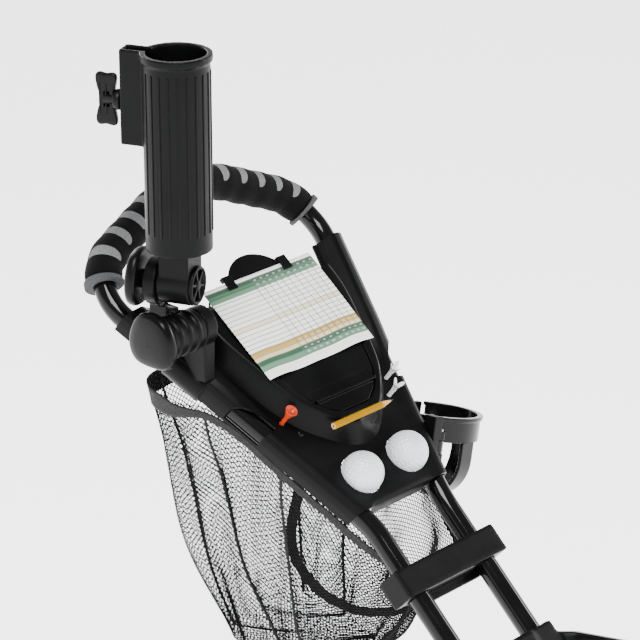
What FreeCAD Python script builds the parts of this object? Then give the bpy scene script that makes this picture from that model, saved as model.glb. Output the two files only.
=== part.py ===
import FreeCAD, Part
import math
import os
from FreeCAD import Placement, Rotation, Vector

# Three-wheel golf push cart, in millimetres. +X is the cart's left-to-right direction seen from the
# front, +Y points back to the person who pushes, and +Z is up. The tubes bend at "the bend", where the
# steep lower run meets the flatter legs of the handle: most places are given from that point.

document = FreeCAD.newDocument("push_cart")
sizes = document.addObject("Spreadsheet::Sheet", "Sizes")

DIMENSIONS = {
    # frame
    "bend_back": 260.4, "bend_height": 786.8, "leg_angle": 37, "frame_angle": 43,
    "tube": 22.2, "tube_wall": 1.6, "tube_half_gap": 50, "bend_bow": 110,
    "shoulder_side": 162, "shoulder_up": 352.5, "shoulder_bow": 55,
    "crown_up": 409, "crown_rise": 40, "crown_bow": 147,
    "hinge_down": 340, "hinge_rise": 35, "running_gap": 0.05, "free_gap": 0.3,
    # handle grip
    "grip": 38, "grip_ring": 40, "grip_ring_length": 5, "grip_start": 0.52,
    # console
    "deck_top": 14, "deck_thickness": 2.4, "deck_front": 22, "deck_back": 262, "wing_back": 298,
    "wing_wall": 2.6, "skirt_drop": 7, "ball": 42.7, "ball_side": 33, "ball_up": 50, "ball_rise": 17,
    "rim_rise": 33, "bin_drop": 34, "lid_thickness": 3, "lid_gap": 0.6, "lid_hinge_up": 268,
    "lid_hinge_rise": 29, "lid_pin": 3, "card_width": 153, "card_height": 112.5, "card_up": 224.5,
    "card_thickness": 0.6, "hook_side": 39.5, "pencil": 7.2, "pencil_length": 70, "tee_shank": 4.4,
    "tee_foot": -8,
    # cup holder
    "cup_ring": 88, "cup_wall": 4, "cup_band": 26, "cup_side": 143, "cup_back": 82, "cup_up": 38,
    "cup_depth": 88, "cup_hoop": 18, "cup_pin": 6, "cup_pivot_up": 66, "cup_pivot_side": 16,
    "cup_lean": 15.8, "cup_boss": 13, "cup_slit": 6, "cup_lip": 2,
    # umbrella holder
    "socket": 64, "socket_wall": 3.4, "socket_length": 193, "yaw": 22.2, "joint_disc": 46,
    "pivot_barrel": 40, "pivot_back": 162, "pivot_up": 188, "upper_back": 190, "upper_up": 236,
    "stand_side": 150, "clamp_up": 222, "knob": 60, "knob_thickness": 20, "joint_bolt": 8,
    "clamp": 35, "clamp_length": 44, "lug_width": 14, "cap": 38, "cap_thickness": 4,
    "socket_lip": 7, "channel_width": 20, "channel_depth": 28, "channel_length": 93,
    # bracket between the tubes, and saddles under the console
    "bracket_width": 146, "bracket_depth": 30, "bracket_height": 31, "bracket_down": 65,
    "saddle": 30, "saddle_length": 14, "saddle_bore": 22.6, "screw": 8, "screw_head": 3,
    # net bag
    "net_wall": 3, "net_drop": 188,
    # bag cradles
    "cradle_down": 176, "low_cradle_down": 820, "cradle_half": 112, "cradle_rise": 70,
    "strap_width": 25, "strap_thickness": 2, "cradle_sweep": 74, "strap_sag": 22,
    # wheels and arms
    "rear_wheel": 290, "front_wheel": 250, "tyre_width": 42, "rear_side": 290, "rear_back": -30,
    "axle": 10, "bearing": 26, "bearing_width": 8, "hub": 44, "hub_half": 26, "arm_tube": 25.4,
    "arm_pin": 8, "arm_pivot_side": 80, "rear_hub_down": 520, "rim_wall": 14, "spokes": 6,
    "spoke_depth": 14, "spoke_width": 18, "tyre_depth": 26, "pedal_width": 44, "pedal_depth": 34,
    "hub_width": 128, "hub_depth": 76, "hub_height": 38, "hinge_width": 126, "hinge_depth": 36,
    "hinge_height": 32, "hinge_pin": 8, "hinge_barrel": 20,
}
for row, (alias, value) in enumerate(DIMENSIONS.items(), 1):
    sizes.set(f"A{row}", alias)
    sizes.set(f"B{row}", str(value))
    sizes.setAlias(f"B{row}", alias)
document.recompute()

X_AXIS = Vector(1, 0, 0)
Y_AXIS = Vector(0, 1, 0)
Z_AXIS = Vector(0, 0, 1)


def size(alias):
    """One driving dimension, as a number."""
    return float(sizes.get(alias))


def worth(formula):
    """What a formula on the sheet comes to."""
    answer = sizes.evalExpression(formula)
    return float(getattr(answer, "Value", answer))


BEND = Vector(0, size("bend_back"), size("bend_height"))
GROUND = Placement()
BEND_FRAME = Placement(BEND, Rotation())
LEG_FRAME = Placement(BEND, Rotation(X_AXIS, size("leg_angle")))
TUBE_FRAME = Placement(BEND, Rotation(X_AXIS, size("frame_angle")))


# ---- building blocks ----

def bound(thing, **formulas):
    """Binds a feature's sizes to formulas on the sheet."""
    for name, formula in formulas.items():
        thing.setExpression(name, formula)
    return thing


def block(centre, length, width, height, turn=Rotation()):
    """A box around its centre, with its sizes bound to formulas."""
    box = bound(document.addObject("Part::Box", "block"), Length=length, Width=width, Height=height)
    corner = Vector(-worth(length) / 2, -worth(width) / 2, -worth(height) / 2)
    box.Placement = Placement(Vector(*centre) + turn.multVec(corner), turn)
    return box


def rod(start, direction, radius, length):
    """A cylinder from a starting point along a direction."""
    cylinder = bound(document.addObject("Part::Cylinder", "rod"), Radius=radius, Height=length)
    cylinder.Placement = Placement(Vector(*start), Rotation(Z_AXIS, Vector(*direction)))
    return cylinder


def across(centre, radius, length):
    """A cylinder along X, with its middle at a place."""
    return rod((centre[0] - worth(length) / 2, centre[1], centre[2]), (1, 0, 0), radius, length)


def sphere(centre, radius):
    """A ball round a centre."""
    ball = bound(document.addObject("Part::Sphere", "ball"), Radius=radius)
    ball.Placement = Placement(Vector(*centre), Rotation())
    return ball


def fuse(*pieces):
    """One solid from several that touch."""
    whole = document.addObject("Part::MultiFuse", "fusion")
    whole.Shapes = list(pieces)
    return whole


def group(*pieces):
    """Several separate solids in one node."""
    many = document.addObject("Part::Compound", "group")
    many.Links = list(pieces)
    return many


def cut(base, *tools):
    """What is left of a solid after each tool is taken away."""
    for tool in tools:
        piece = document.addObject("Part::Cut", "cut")
        piece.Base = base
        piece.Tool = tool
        base = piece
    return base


def plate(points, height, bottom="0"):
    """A body padded from one closed outline of straight edges."""
    body = document.addObject("PartDesign::Body", "plate")
    origin = next(part for part in body.Origin.OriginFeatures if part.Role == "XY_Plane")
    sketch = body.newObject("Sketcher::SketchObject", "outline")
    sketch.AttachmentSupport = [(origin, "")]
    sketch.MapMode = "FlatFace"
    corners = [Vector(place[0], place[1], 0) for place in points]
    for here, there in zip(corners, corners[1:] + corners[:1]):
        sketch.addGeometry(Part.LineSegment(here, there), False)
    bound(sketch, **{"AttachmentOffset.Base.z": bottom})
    pad = bound(body.newObject("PartDesign::Pad", "pad"), Length=height)
    pad.Profile = sketch
    body.Tip = pad
    return body


def turned(points):
    """A body turned about the Z axis from its half profile, given as (radius, height) points."""
    body = document.addObject("PartDesign::Body", "turned")
    origin = next(part for part in body.Origin.OriginFeatures if part.Role == "XZ_Plane")
    sketch = body.newObject("Sketcher::SketchObject", "profile")
    sketch.AttachmentSupport = [(origin, "")]
    sketch.MapMode = "FlatFace"
    corners = [Vector(radius, height, 0) for radius, height in points]
    for here, there in zip(corners, corners[1:] + corners[:1]):
        sketch.addGeometry(Part.LineSegment(here, there), False)
    turn = body.newObject("PartDesign::Revolution", "turn")
    turn.Profile = sketch
    turn.ReferenceAxis = (sketch, ["V_Axis"])
    turn.Angle = 360
    body.Tip = turn
    return body


def shape_of(name, shape):
    """A feature whose shape Part's own functions made."""
    feature = document.addObject("Part::Feature", name)
    feature.Shape = shape
    return feature


def along(points, bows):
    """A path of straight runs with a tangent arc at each inner point."""
    points = [Vector(*place) for place in points]
    edges = []
    here = points[0]
    for before, corner, after, bow in zip(points, points[1:], points[2:], bows):
        inward = (before - corner).normalize()
        outward = (after - corner).normalize()
        half_turn = (math.pi - inward.getAngle(outward)) / 2
        tangent = bow * math.tan(half_turn)
        start = corner + inward * tangent
        finish = corner + outward * tangent
        middle = corner + (inward + outward).normalize() * (bow / math.cos(half_turn) - bow)
        edges.append(Part.makeLine(here, start))
        edges.append(Part.Arc(start, middle, finish).toShape())
        here = finish
    edges.append(Part.makeLine(here, points[-1]))
    return edges


def swept(edges, radius, bore=0):
    """A round bar, or a tube, along a path."""
    path = Part.Wire(edges)
    start = path.OrderedEdges[0]
    facing = start.tangentAt(start.FirstParameter)
    if start.valueAt(start.FirstParameter).distanceToPoint(path.OrderedVertexes[0].Point) > 1e-6:
        facing = start.tangentAt(start.LastParameter) * -1
    ring = Part.Wire(Part.makeCircle(radius, path.OrderedVertexes[0].Point, facing))
    bar = path.makePipeShell([ring], True, False)
    if bore:
        hole = Part.Wire(Part.makeCircle(bore, path.OrderedVertexes[0].Point, facing))
        bar = bar.cut(path.makePipeShell([hole], True, False))
    return bar


def ruled(*outlines):
    """A solid between closed outlines with the same number of corners."""
    return Part.makeLoft([Part.makePolygon([Vector(*p) for p in loop + loop[:1]]) for loop in outlines],
                         True, True)


def shift(piece, move):
    """Moves a primitive before it joins others, by a vector or a placement."""
    if isinstance(move, Vector):
        move = Placement(move, Rotation())
    piece.Placement = move.multiply(piece.Placement)
    return piece


NODES = []


def node(label, piece, frame=GROUND):
    """Names a finished sub-part and puts it in its place."""
    piece.Label = label
    piece.Placement = frame.multiply(piece.Placement)
    NODES.append(piece)
    return piece


def both(points):
    """An outline mirrored about X = 0, from its half with positive X, front to back."""
    return list(points) + [(-side, *rest) for side, *rest in reversed(points) if side > 0]


# ---- handle ----

def leg_side(up):
    """How far a leg's centre line stands from the middle, this far above the bend."""
    gap = size("tube_half_gap")
    return gap + (size("shoulder_side") - gap) * up / size("shoulder_up")


def handle_path():
    """The centre line of the handle: up one leg, over the crown and down the other."""
    to_leg = TUBE_FRAME.inverse().multiply(LEG_FRAME)
    gap = size("tube_half_gap")
    foot = -size("hinge_down") + 18
    side = size("shoulder_side")
    left = [Vector(-gap, foot, 0), Vector(-gap, 0, 0),
            to_leg.multVec(Vector(-side, size("shoulder_up"), 0))]
    crown = to_leg.multVec(Vector(0, size("crown_up"), size("crown_rise")))
    right = [Vector(-place.x, place.y, place.z) for place in reversed(left)]
    bows = [size("bend_bow"), size("shoulder_bow"), size("crown_bow"),
            size("shoulder_bow"), size("bend_bow")]
    return along(left + [crown] + right, bows)


def piece_of(edge, first, last):
    """The stretch of an edge between two fractions of its length."""
    low, high = edge.ParameterRange
    return edge.Curve.toShape(low + (high - low) * first, low + (high - low) * last)


def make_handle():
    """The bent tube, the foam grip round its crown and the two rings that end the grip."""
    path = handle_path()
    outer = size("tube") / 2
    node("handle_tube", shape_of("handle", swept(path, outer, outer - size("tube_wall"))), TUBE_FRAME)
    skip = size("grip_start")
    near = piece_of(path[3], skip, 1)
    far = piece_of(path[7], 0, 1 - skip)
    bore = outer + size("running_gap")
    foam = swept([near] + path[4:7] + [far], size("grip") / 2, bore)
    node("grip_cover", shape_of("grip", foam), TUBE_FRAME)
    thin = size("grip_ring_length") / path[3].Length
    rings = [swept([piece_of(path[3], skip - thin, skip)], size("grip_ring") / 2, bore),
             swept([piece_of(path[7], 1 - skip, 1 - skip + thin)], size("grip_ring") / 2, bore)]
    node("grip_end_rings", shape_of("rings", Part.makeCompound(rings)), TUBE_FRAME)


# ---- console ----

BASE_OUTLINE = [(0, 78), (22, 84), (40, 98), (62, 120), (76, 145), (90, 185), (102, 230), (104, 262)]
CREST_OUTLINE = [(0, 94), (20, 98), (34, 108), (52, 129), (65, 150), (78, 188), (90, 231), (92, 262)]
LID_OUTLINE = [(20, 110), (37, 121), (50, 138), (57, 155), (61, 172), (66, 200), (70, 232), (72, 258)]


def flat(points, rise):
    """An outline of (side, up) points lifted to one height over the legs."""
    return [(side, up, rise) for side, up in points]


def make_deck():
    """The console's sheet, rolled over both legs, with its holes for balls, tees and bin."""
    top = size("deck_top")
    front = size("deck_front")
    back = size("deck_back")
    wing = size("wing_back")
    outline = both([(56, front), (leg_side(front) + 4, front), (leg_side(back), back), (84, back)])
    slab = plate(outline, "Sizes.deck_thickness", "Sizes.deck_top - Sizes.deck_thickness")
    skirt = block((0, front + 1.5, top - 10), "2 * Sizes.tube_half_gap - 8", "3", "19")
    pieces = [slab, skirt]
    holes = []
    for hand in (-1, 1):
        start = Vector(hand * leg_side(front), front, 0)
        finish = Vector(hand * leg_side(wing), wing, 0)
        way = finish - start
        long = f"{way.Length}"
        pieces.append(rod(start, way, "Sizes.deck_top", long))
        holes.append(rod(start - way * 0.1, way, "Sizes.deck_top - Sizes.wing_wall", f"{way.Length * 1.2}"))
    whole = fuse(*pieces)
    under = block((0, 160, -size("skirt_drop") - 20), "400", "400", "40")
    bin_hole = shape_of("bin_hole", ruled(flat(both(BASE_OUTLINE), 0), flat(both(BASE_OUTLINE), 40)))
    for hand in (-1, 1):
        holes.append(rod((hand * size("ball_side"), size("ball_up"), 0), (0, 0, 1),
                         "Sizes.ball / 2 + 0.35", "40"))
        # the opening beside each leg that shows the bare tube
        holes.append(block((hand * 103, 152, 10), "32", "40", "60", Rotation(Z_AXIS, -hand * 17)))
        holes.append(rod((hand * 88, 139, -20), (0, 0, 1), "9", "60"))
    for side, up in TEE_SEATS:
        holes.append(rod((side, up, -20), (0, 0, 1), "Sizes.tee_shank / 2 + 0.5", "44"))
    clamp_way = Vector(-leg_side(1) + leg_side(0), 1, 0).normalize()
    clamp_middle = Vector(-leg_side(size("clamp_up")), size("clamp_up"), 0)
    holes.append(rod(clamp_middle - clamp_way * 22.5, clamp_way, "17.9", "45"))
    node("console_deck", cut(whole, under, bin_hole, *holes), LEG_FRAME)


def make_bin():
    """The storage bin with its raised rim and hinge ears, and the pin of its lid."""
    rim = size("rim_rise")
    deck_under = size("deck_top") - size("deck_thickness")
    mound = shape_of("mound", ruled(flat(both(BASE_OUTLINE), deck_under),
                                    flat(both(CREST_OUTLINE), rim)))
    shrink = shape_of("bin_wall", ruled(flat(both([(x - 6, y + 3) for x, y in LID_OUTLINE]),
                                             -size("bin_drop")),
                                        flat(both([(x + 1, y - 1) for x, y in LID_OUTLINE]), 14)))
    hollow = shape_of("hollow", ruled(flat(both([(x - 9, y + 6) for x, y in LID_OUTLINE]),
                                           3 - size("bin_drop")),
                                      flat(both([(x - 3, y + 3) for x, y in LID_OUTLINE[:-1]]
                                                + [(69, 255)]), rim + 2)))
    seat = plate(both(LID_OUTLINE + [(72, 300)]), "20", "Sizes.rim_rise - Sizes.lid_thickness")
    groove = across((0, 99, rim + 3.2), "Sizes.pencil / 2 + 1", "96")
    pocket = across((12, 90, rim - 1), "7", "36")
    ears = [across((hand * 66, size("lid_hinge_up"), size("lid_hinge_rise")), "5", "8")
            for hand in (-1, 1)]
    arms = [block((hand * 66, 265, 26), "8", "11", "10") for hand in (-1, 1)]
    shell = cut(fuse(mound, shrink), hollow, seat, groove, pocket)
    slot = across((0, size("lid_hinge_up"), size("lid_hinge_rise")), "6.5", "123")
    bore = across((0, size("lid_hinge_up"), size("lid_hinge_rise")), "Sizes.lid_pin / 2", "140")
    node("console_bin", cut(fuse(cut(fuse(shell, *arms), slot), *ears), bore), LEG_FRAME)
    node("lid_pin", across((0, size("lid_hinge_up"), size("lid_hinge_rise")),
                           "Sizes.lid_pin / 2", "140"), LEG_FRAME)


def make_lid():
    """The bin's lid with its finger ridge, the clip plate with two hooks, and the card."""
    gap = size("lid_gap")
    under = "Sizes.rim_rise - Sizes.lid_thickness + 0.2"
    panel = plate(both([(x - gap, y + gap) for x, y in LID_OUTLINE]), "Sizes.lid_thickness", under)
    place = (0, size("lid_hinge_up"), size("lid_hinge_rise"))
    barrel = across(place, "4", "122")
    web = block((0, 262, 31.7), "120", "12", "3")
    ridge = block((0, 129, 35.4), "2 * 43", "3", "4.4")
    recess = block((0, 137, 34.6), "2 * 43", "10", "3.2")
    bore = across(place, "Sizes.lid_pin / 2 + Sizes.running_gap", "130")
    node("compartment_lid", cut(fuse(panel, barrel, web, ridge), recess, bore), LEG_FRAME)
    top = size("rim_rise") + 0.2
    disc = rod((0, 262, top + 0.1), (0, 0, 1), "42", "1.6")
    front = block((0, 215, top), "100", "96", "10")
    hooks = []
    for hand in (-1, 1):
        side = hand * size("hook_side")
        hooks.append(block((side, 285.5, top + 2.1), "12", "5", "4"))
        hooks.append(block((side, 280, top + 4.2), "12", "16", "1.6"))
    node("card_clip", fuse(cut(disc, front), block((0, 266, top + 0.9), "110", "5", "1.6"), *hooks),
         LEG_FRAME)
    node("scorecard", block((0, size("card_up"), top + 2.2), "Sizes.card_width", "Sizes.card_height",
                            "Sizes.card_thickness"), LEG_FRAME)


SADDLE_PLACES = (30, 96)
TEE_SEATS = [(77, 131), (65, 113), (-77, 131), (-65, 113)]


def tee(side, up):
    """A golf tee standing in its hole in the deck."""
    body = turned([(0, 0), (0.8, 1), (2.2, 8), (2.2, 32), (2.8, 36), (6, 43), (6, 44.4), (4.6, 44.4),
                   (0, 41)])
    body.Placement = Placement(Vector(side, up, size("tee_foot")), Rotation())
    return body


def make_accessories():
    """Balls, tees, pencil, and the saddles and screws that hold the console."""
    side = size("ball_side")
    node("golf_balls", group(*[sphere((hand * side, size("ball_up"), size("ball_rise")),
                                      "Sizes.ball / 2") for hand in (-1, 1)]), LEG_FRAME)
    node("white_tees", group(*[tee(*seat) for seat in TEE_SEATS[:2]]), LEG_FRAME)
    node("orange_tee", tee(*TEE_SEATS[2]), LEG_FRAME)
    shaft = document.addObject("Part::Prism", "hexagon")
    shaft.Polygon = 6
    bound(shaft, Circumradius="Sizes.pencil / 2", Height="Sizes.pencil_length")
    point = document.addObject("Part::Cone", "point")
    bound(point, Radius1="Sizes.pencil / 2 - 0.5", Radius2="0.5", Height="18")
    point.Placement = Placement(Vector(0, 0, size("pencil_length")), Rotation())
    pencil = fuse(shaft, point)
    pencil.Placement = Placement(Vector(-45, 99, size("rim_rise") + 3.4), Rotation(Y_AXIS, 90))
    node("pencil", pencil, LEG_FRAME)
    saddles = []
    screws = []
    for hand in (-1, 1):
        for up in SADDLE_PLACES:
            place = Vector(hand * leg_side(up), up, 0)
            way = Vector(hand * (leg_side(up + 1) - leg_side(up)), 1, 0)
            middle = up + size("saddle_length") / 2
            ring = cut(rod(place, way, "Sizes.saddle / 2", "Sizes.saddle_length"),
                       rod(place - way * 2, way, "Sizes.saddle_bore / 2", "Sizes.saddle_length + 6"),
                       block((place.x, middle, 20 - size("skirt_drop") - 0.3), "60", "60", "40"))
            saddles.append(ring)
            screws.append(rod((place.x, middle, -15), (0, 0, -1), "Sizes.screw / 2 - 0.6",
                              "Sizes.screw_head"))
    node("console_saddles", group(*saddles), LEG_FRAME)
    node("console_screws", group(*screws), LEG_FRAME)


# ---- cross bracket and net ----

def make_bracket():
    """The bracket that ties the two tubes under the console."""
    gap = size("tube_half_gap")
    down = -size("bracket_down")
    body = block((0, down, 0), "Sizes.bracket_width", "Sizes.bracket_depth", "Sizes.bracket_height")
    lip = block((0, down - 19, -10), "Sizes.bracket_width - 36", "10", "6")
    bores = [rod((hand * gap, down - 55, 0), (0, 1, 0), "Sizes.tube / 2 + 0.1", "100")
             for hand in (-1, 1)]
    node("cross_bracket", cut(fuse(body, lip), *bores), TUBE_FRAME)
    under = -size("bracket_height") / 2
    node("bracket_screws", group(*[rod((side, down, under), (0, 0, -1), "Sizes.screw / 2",
                                       "Sizes.screw_head") for side in (-64, -30, 30, 64)]), TUBE_FRAME)


NET_MOUTH = [(46, -42), (112, 212), (102, 236)]
NET_WAIST = [(60, -20), (106, 196), (94, 214)]
NET_FLOOR = [(44, 34), (72, 158), (60, 172)]


def net_loop(points, rise, slope):
    """One closed loop of the bag in a sloping plane, from its right half."""
    half = [(side, back, rise + slope * back) for side, back in points]
    return [Vector(*place) for place in both(half)]


def make_net():
    """The hanging bag as a thin shell, open at its mouth just under the legs."""
    loops = [net_loop(NET_MOUTH, -40, 0.66), net_loop(NET_WAIST, -104, 0.4),
             net_loop(NET_FLOOR, -size("net_drop"), 0)]
    wall = size("net_wall")
    inside = []
    for loop in loops:
        middle = sum(loop, Vector()) * (1 / len(loop))
        inside.append([place + (middle - place) * (wall / 70) for place in loop])
    lift = Vector(0, 0, wall)
    inside[0] = [place + lift * 0.01 for place in inside[0]]
    inside[2] = [place + lift for place in inside[2]]
    outer = ruled(*[[(p.x, p.y, p.z) for p in loop] for loop in loops])
    inner = ruled(*[[(p.x, p.y, p.z) for p in loop] for loop in inside])
    node("net_bag", shape_of("net", outer.cut(inner)), BEND_FRAME)


# ---- cup holder ----

def leg_spot(hand, up):
    """A point on a leg's centre line and the leg's direction there, measured from the bend."""
    spot = LEG_FRAME.multVec(Vector(hand * leg_side(up), up, 0)) - BEND
    way = LEG_FRAME.Rotation.multVec(Vector(hand * (leg_side(1) - leg_side(0)), 1, 0))
    return spot, way.normalize()


def make_cup_holder():
    """Bracket on the right leg, pivot pin, and the ring with its hoops, leaning outwards."""
    spot, way = leg_spot(1, size("cup_pivot_up"))
    foot = spot + Vector(size("cup_pivot_side"), -12, -34)
    lean = Placement(foot, Rotation(Vector(-0.25, 1, 0), size("cup_lean")))
    tab = shift(fuse(rod((0, 0, 0), (0, 0, 1), "7.2", "37"), block((-8, 0, 26.5), "16", "14", "53")), lean)
    head_room = shift(rod((0, 0, 37), (0, 0, 1), "7.4", "30"), lean)
    shoe = shift(block((-20.5, 2, 18), "29", "18", "14"), lean)
    wing = rod(spot - way * 80, way, "Sizes.deck_top", "160")
    saddle_spot, _ = leg_spot(1, SADDLE_PLACES[0])
    saddle_room = rod(saddle_spot - way, way, "Sizes.saddle / 2 + Sizes.free_gap",
                      "Sizes.saddle_length + 2")
    bore = shift(rod((0, 0, -30), (0, 0, 1), "Sizes.cup_pin / 2", "90"), lean)
    notch = shift(block((4, 0, 21), "22", "40", "14.6"), lean)
    node("cup_bracket", cut(fuse(tab, shoe), wing, saddle_room, bore, notch, head_room), BEND_FRAME)
    pin = fuse(rod((0, 0, -1), (0, 0, 1), "Sizes.cup_pin / 2", "39"),
               rod((0, 0, 37), (0, 0, 1), "Sizes.cup_pin / 2 + 2", "2"),
               rod((0, 0, -2), (0, 0, 1), "Sizes.cup_pin / 2 + 2", "2"))
    cup_frame = BEND_FRAME.multiply(lean)
    node("cup_pin", pin, cup_frame)
    rim = lean.inverse().multVec(Vector(size("cup_side"), size("cup_back"), size("cup_up")))
    radius = size("cup_ring") / 2
    band = rod(rim - Vector(0, 0, size("cup_band")), (0, 0, 1), "Sizes.cup_ring / 2", "Sizes.cup_band")
    lip = rod(rim - Vector(0, 0, 4), (0, 0, 1), "Sizes.cup_ring / 2 + Sizes.cup_lip", "4")
    depth = size("cup_depth") - size("cup_band")
    hoops = [shape_of("hoop", cup_hoop(radius, depth, turn, rim)) for turn in (0, 90)]
    room = rod(rim - Vector(0, 0, size("cup_band") + 0.1), (0, 0, 1),
               "Sizes.cup_ring / 2 - Sizes.cup_wall", "90")
    gap = block(rim + Vector(20, 38, -6), "Sizes.cup_slit", "24", "30")
    boss = rod((0, 0, 14), (0, 0, 1), "Sizes.cup_boss / 2", "14")
    arm = block((rim.x / 2 - 12, rim.y / 2 - 9, 21), "20", "11", "14",
                Rotation(Z_AXIS, math.degrees(math.atan2(rim.y, rim.x))))
    bore = rod((0, 0, -10), (0, 0, 1), "Sizes.cup_pin / 2 + Sizes.running_gap", "60")
    node("cup_holder", cut(fuse(band, lip, boss, arm, *hoops), room, gap, bore), cup_frame)


def stadium(radius, straight):
    """An upright face with straight sides and a half-round lower end."""
    left = Vector(-radius, 0, -straight)
    right = Vector(radius, 0, -straight)
    edges = [Part.makeLine(Vector(radius, 0, 0), Vector(-radius, 0, 0)),
             Part.makeLine(Vector(-radius, 0, 0), left),
             Part.Arc(left, Vector(0, 0, -straight - radius), right).toShape(),
             Part.makeLine(right, Vector(radius, 0, 0))]
    return Part.Face(Part.Wire(edges))


def cup_hoop(radius, depth, turn, centre):
    """A round-bottomed strap under the ring that carries the cup."""
    wide = size("cup_hoop")
    wall = size("cup_wall")
    straight = depth - radius
    hoop = stadium(radius, straight).extrude(Vector(0, wide, 0))
    hoop = hoop.cut(stadium(radius - wall, straight).extrude(Vector(0, wide, 0)))
    hoop.translate(Vector(0, -wide / 2, 0))
    hoop.rotate(Vector(), Z_AXIS, turn)
    hoop.translate(centre - Vector(0, 0, size("cup_band")))
    return hoop


# ---- umbrella holder ----

def make_umbrella():
    """Clamp on the left leg, swivelling arm, and the socket above it with its screws."""
    low = Vector(-size("stand_side"), size("pivot_back"), size("pivot_up"))
    spot, way = leg_spot(-1, size("clamp_up"))
    ring = rod(spot - way * (size("clamp_length") / 2), way, "Sizes.clamp / 2", "Sizes.clamp_length")
    lug = block((low.x + 27, low.y, (low.z + spot.z) / 2 + 3), "Sizes.lug_width", "30", "58")
    boss = across((low.x + 27, low.y, low.z), "Sizes.pivot_barrel / 2", "Sizes.lug_width")
    hole = rod(spot - way * 60, way, "Sizes.tube / 2 + 0.1", "120")
    bore = across(low, "Sizes.joint_bolt / 2 + Sizes.running_gap", "120")
    node("umbrella_clamp", cut(fuse(ring, lug, boss), hole, bore), BEND_FRAME)
    barrel = across((low.x - 2, low.y, low.z), "Sizes.pivot_barrel / 2", "42")
    rings = [across((low.x + place, low.y, low.z), "Sizes.pivot_barrel / 2 + 1.5", "4")
             for place in (-14, -2, 10)]
    high = Vector(-size("stand_side"), size("upper_back"), size("upper_up"))
    post = block((high.x, (low.y + high.y) / 2 + 8, (low.z + high.z) / 2 - 2), "16", "30", "50")
    turn = Rotation(Z_AXIS, size("yaw"))
    forward = turn.multVec(Vector(0, -1, 0))
    disc = rod(high - forward * 6, forward, "Sizes.joint_disc / 2", "12")
    low_bore = across(low, "Sizes.joint_bolt / 2 + Sizes.running_gap", "120")
    high_bore = rod(high - forward * 80, forward, "Sizes.joint_bolt / 2 + Sizes.running_gap", "160")
    front_room = rod(high + forward * 6, forward, "Sizes.joint_disc / 2 + 1", "40")
    back_room = rod(high - forward * 36, forward, "Sizes.joint_disc / 2 + 8", "30")
    node("umbrella_arm", cut(fuse(barrel, post, disc, *rings), low_bore, high_bore, front_room, back_room),
         BEND_FRAME)
    node("umbrella_low_bolt", fuse(across((low.x + 4, low.y, low.z), "Sizes.joint_bolt / 2", "66"),
                                   across((low.x + 38, low.y, low.z), "7", "6")), BEND_FRAME)
    knob = lobed_knob()
    knob.Placement = Placement(low + Vector(-24, 0, 0), Rotation(Y_AXIS, -90))
    node("umbrella_low_knob", knob, BEND_FRAME)
    make_socket(high, forward, turn)


def lobed_knob():
    """A thumb knob with three soft lobes around a threaded stub, on the Z axis."""
    reach = size("knob") / 2
    lobes = [rod((math.cos(angle) * reach * 0.32, math.sin(angle) * reach * 0.32, 5), (0, 0, 1),
                 "Sizes.knob / 2 * 0.68", "Sizes.knob_thickness")
             for angle in (math.radians(90 + 120 * turn) for turn in range(3))]
    bore = rod((0, 0, -3), (0, 0, 1), "Sizes.joint_bolt / 2 + Sizes.running_gap", "27")
    return cut(fuse(rod((0, 0, 0), (0, 0, 1), "9", "7"), *lobes), bore)


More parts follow.
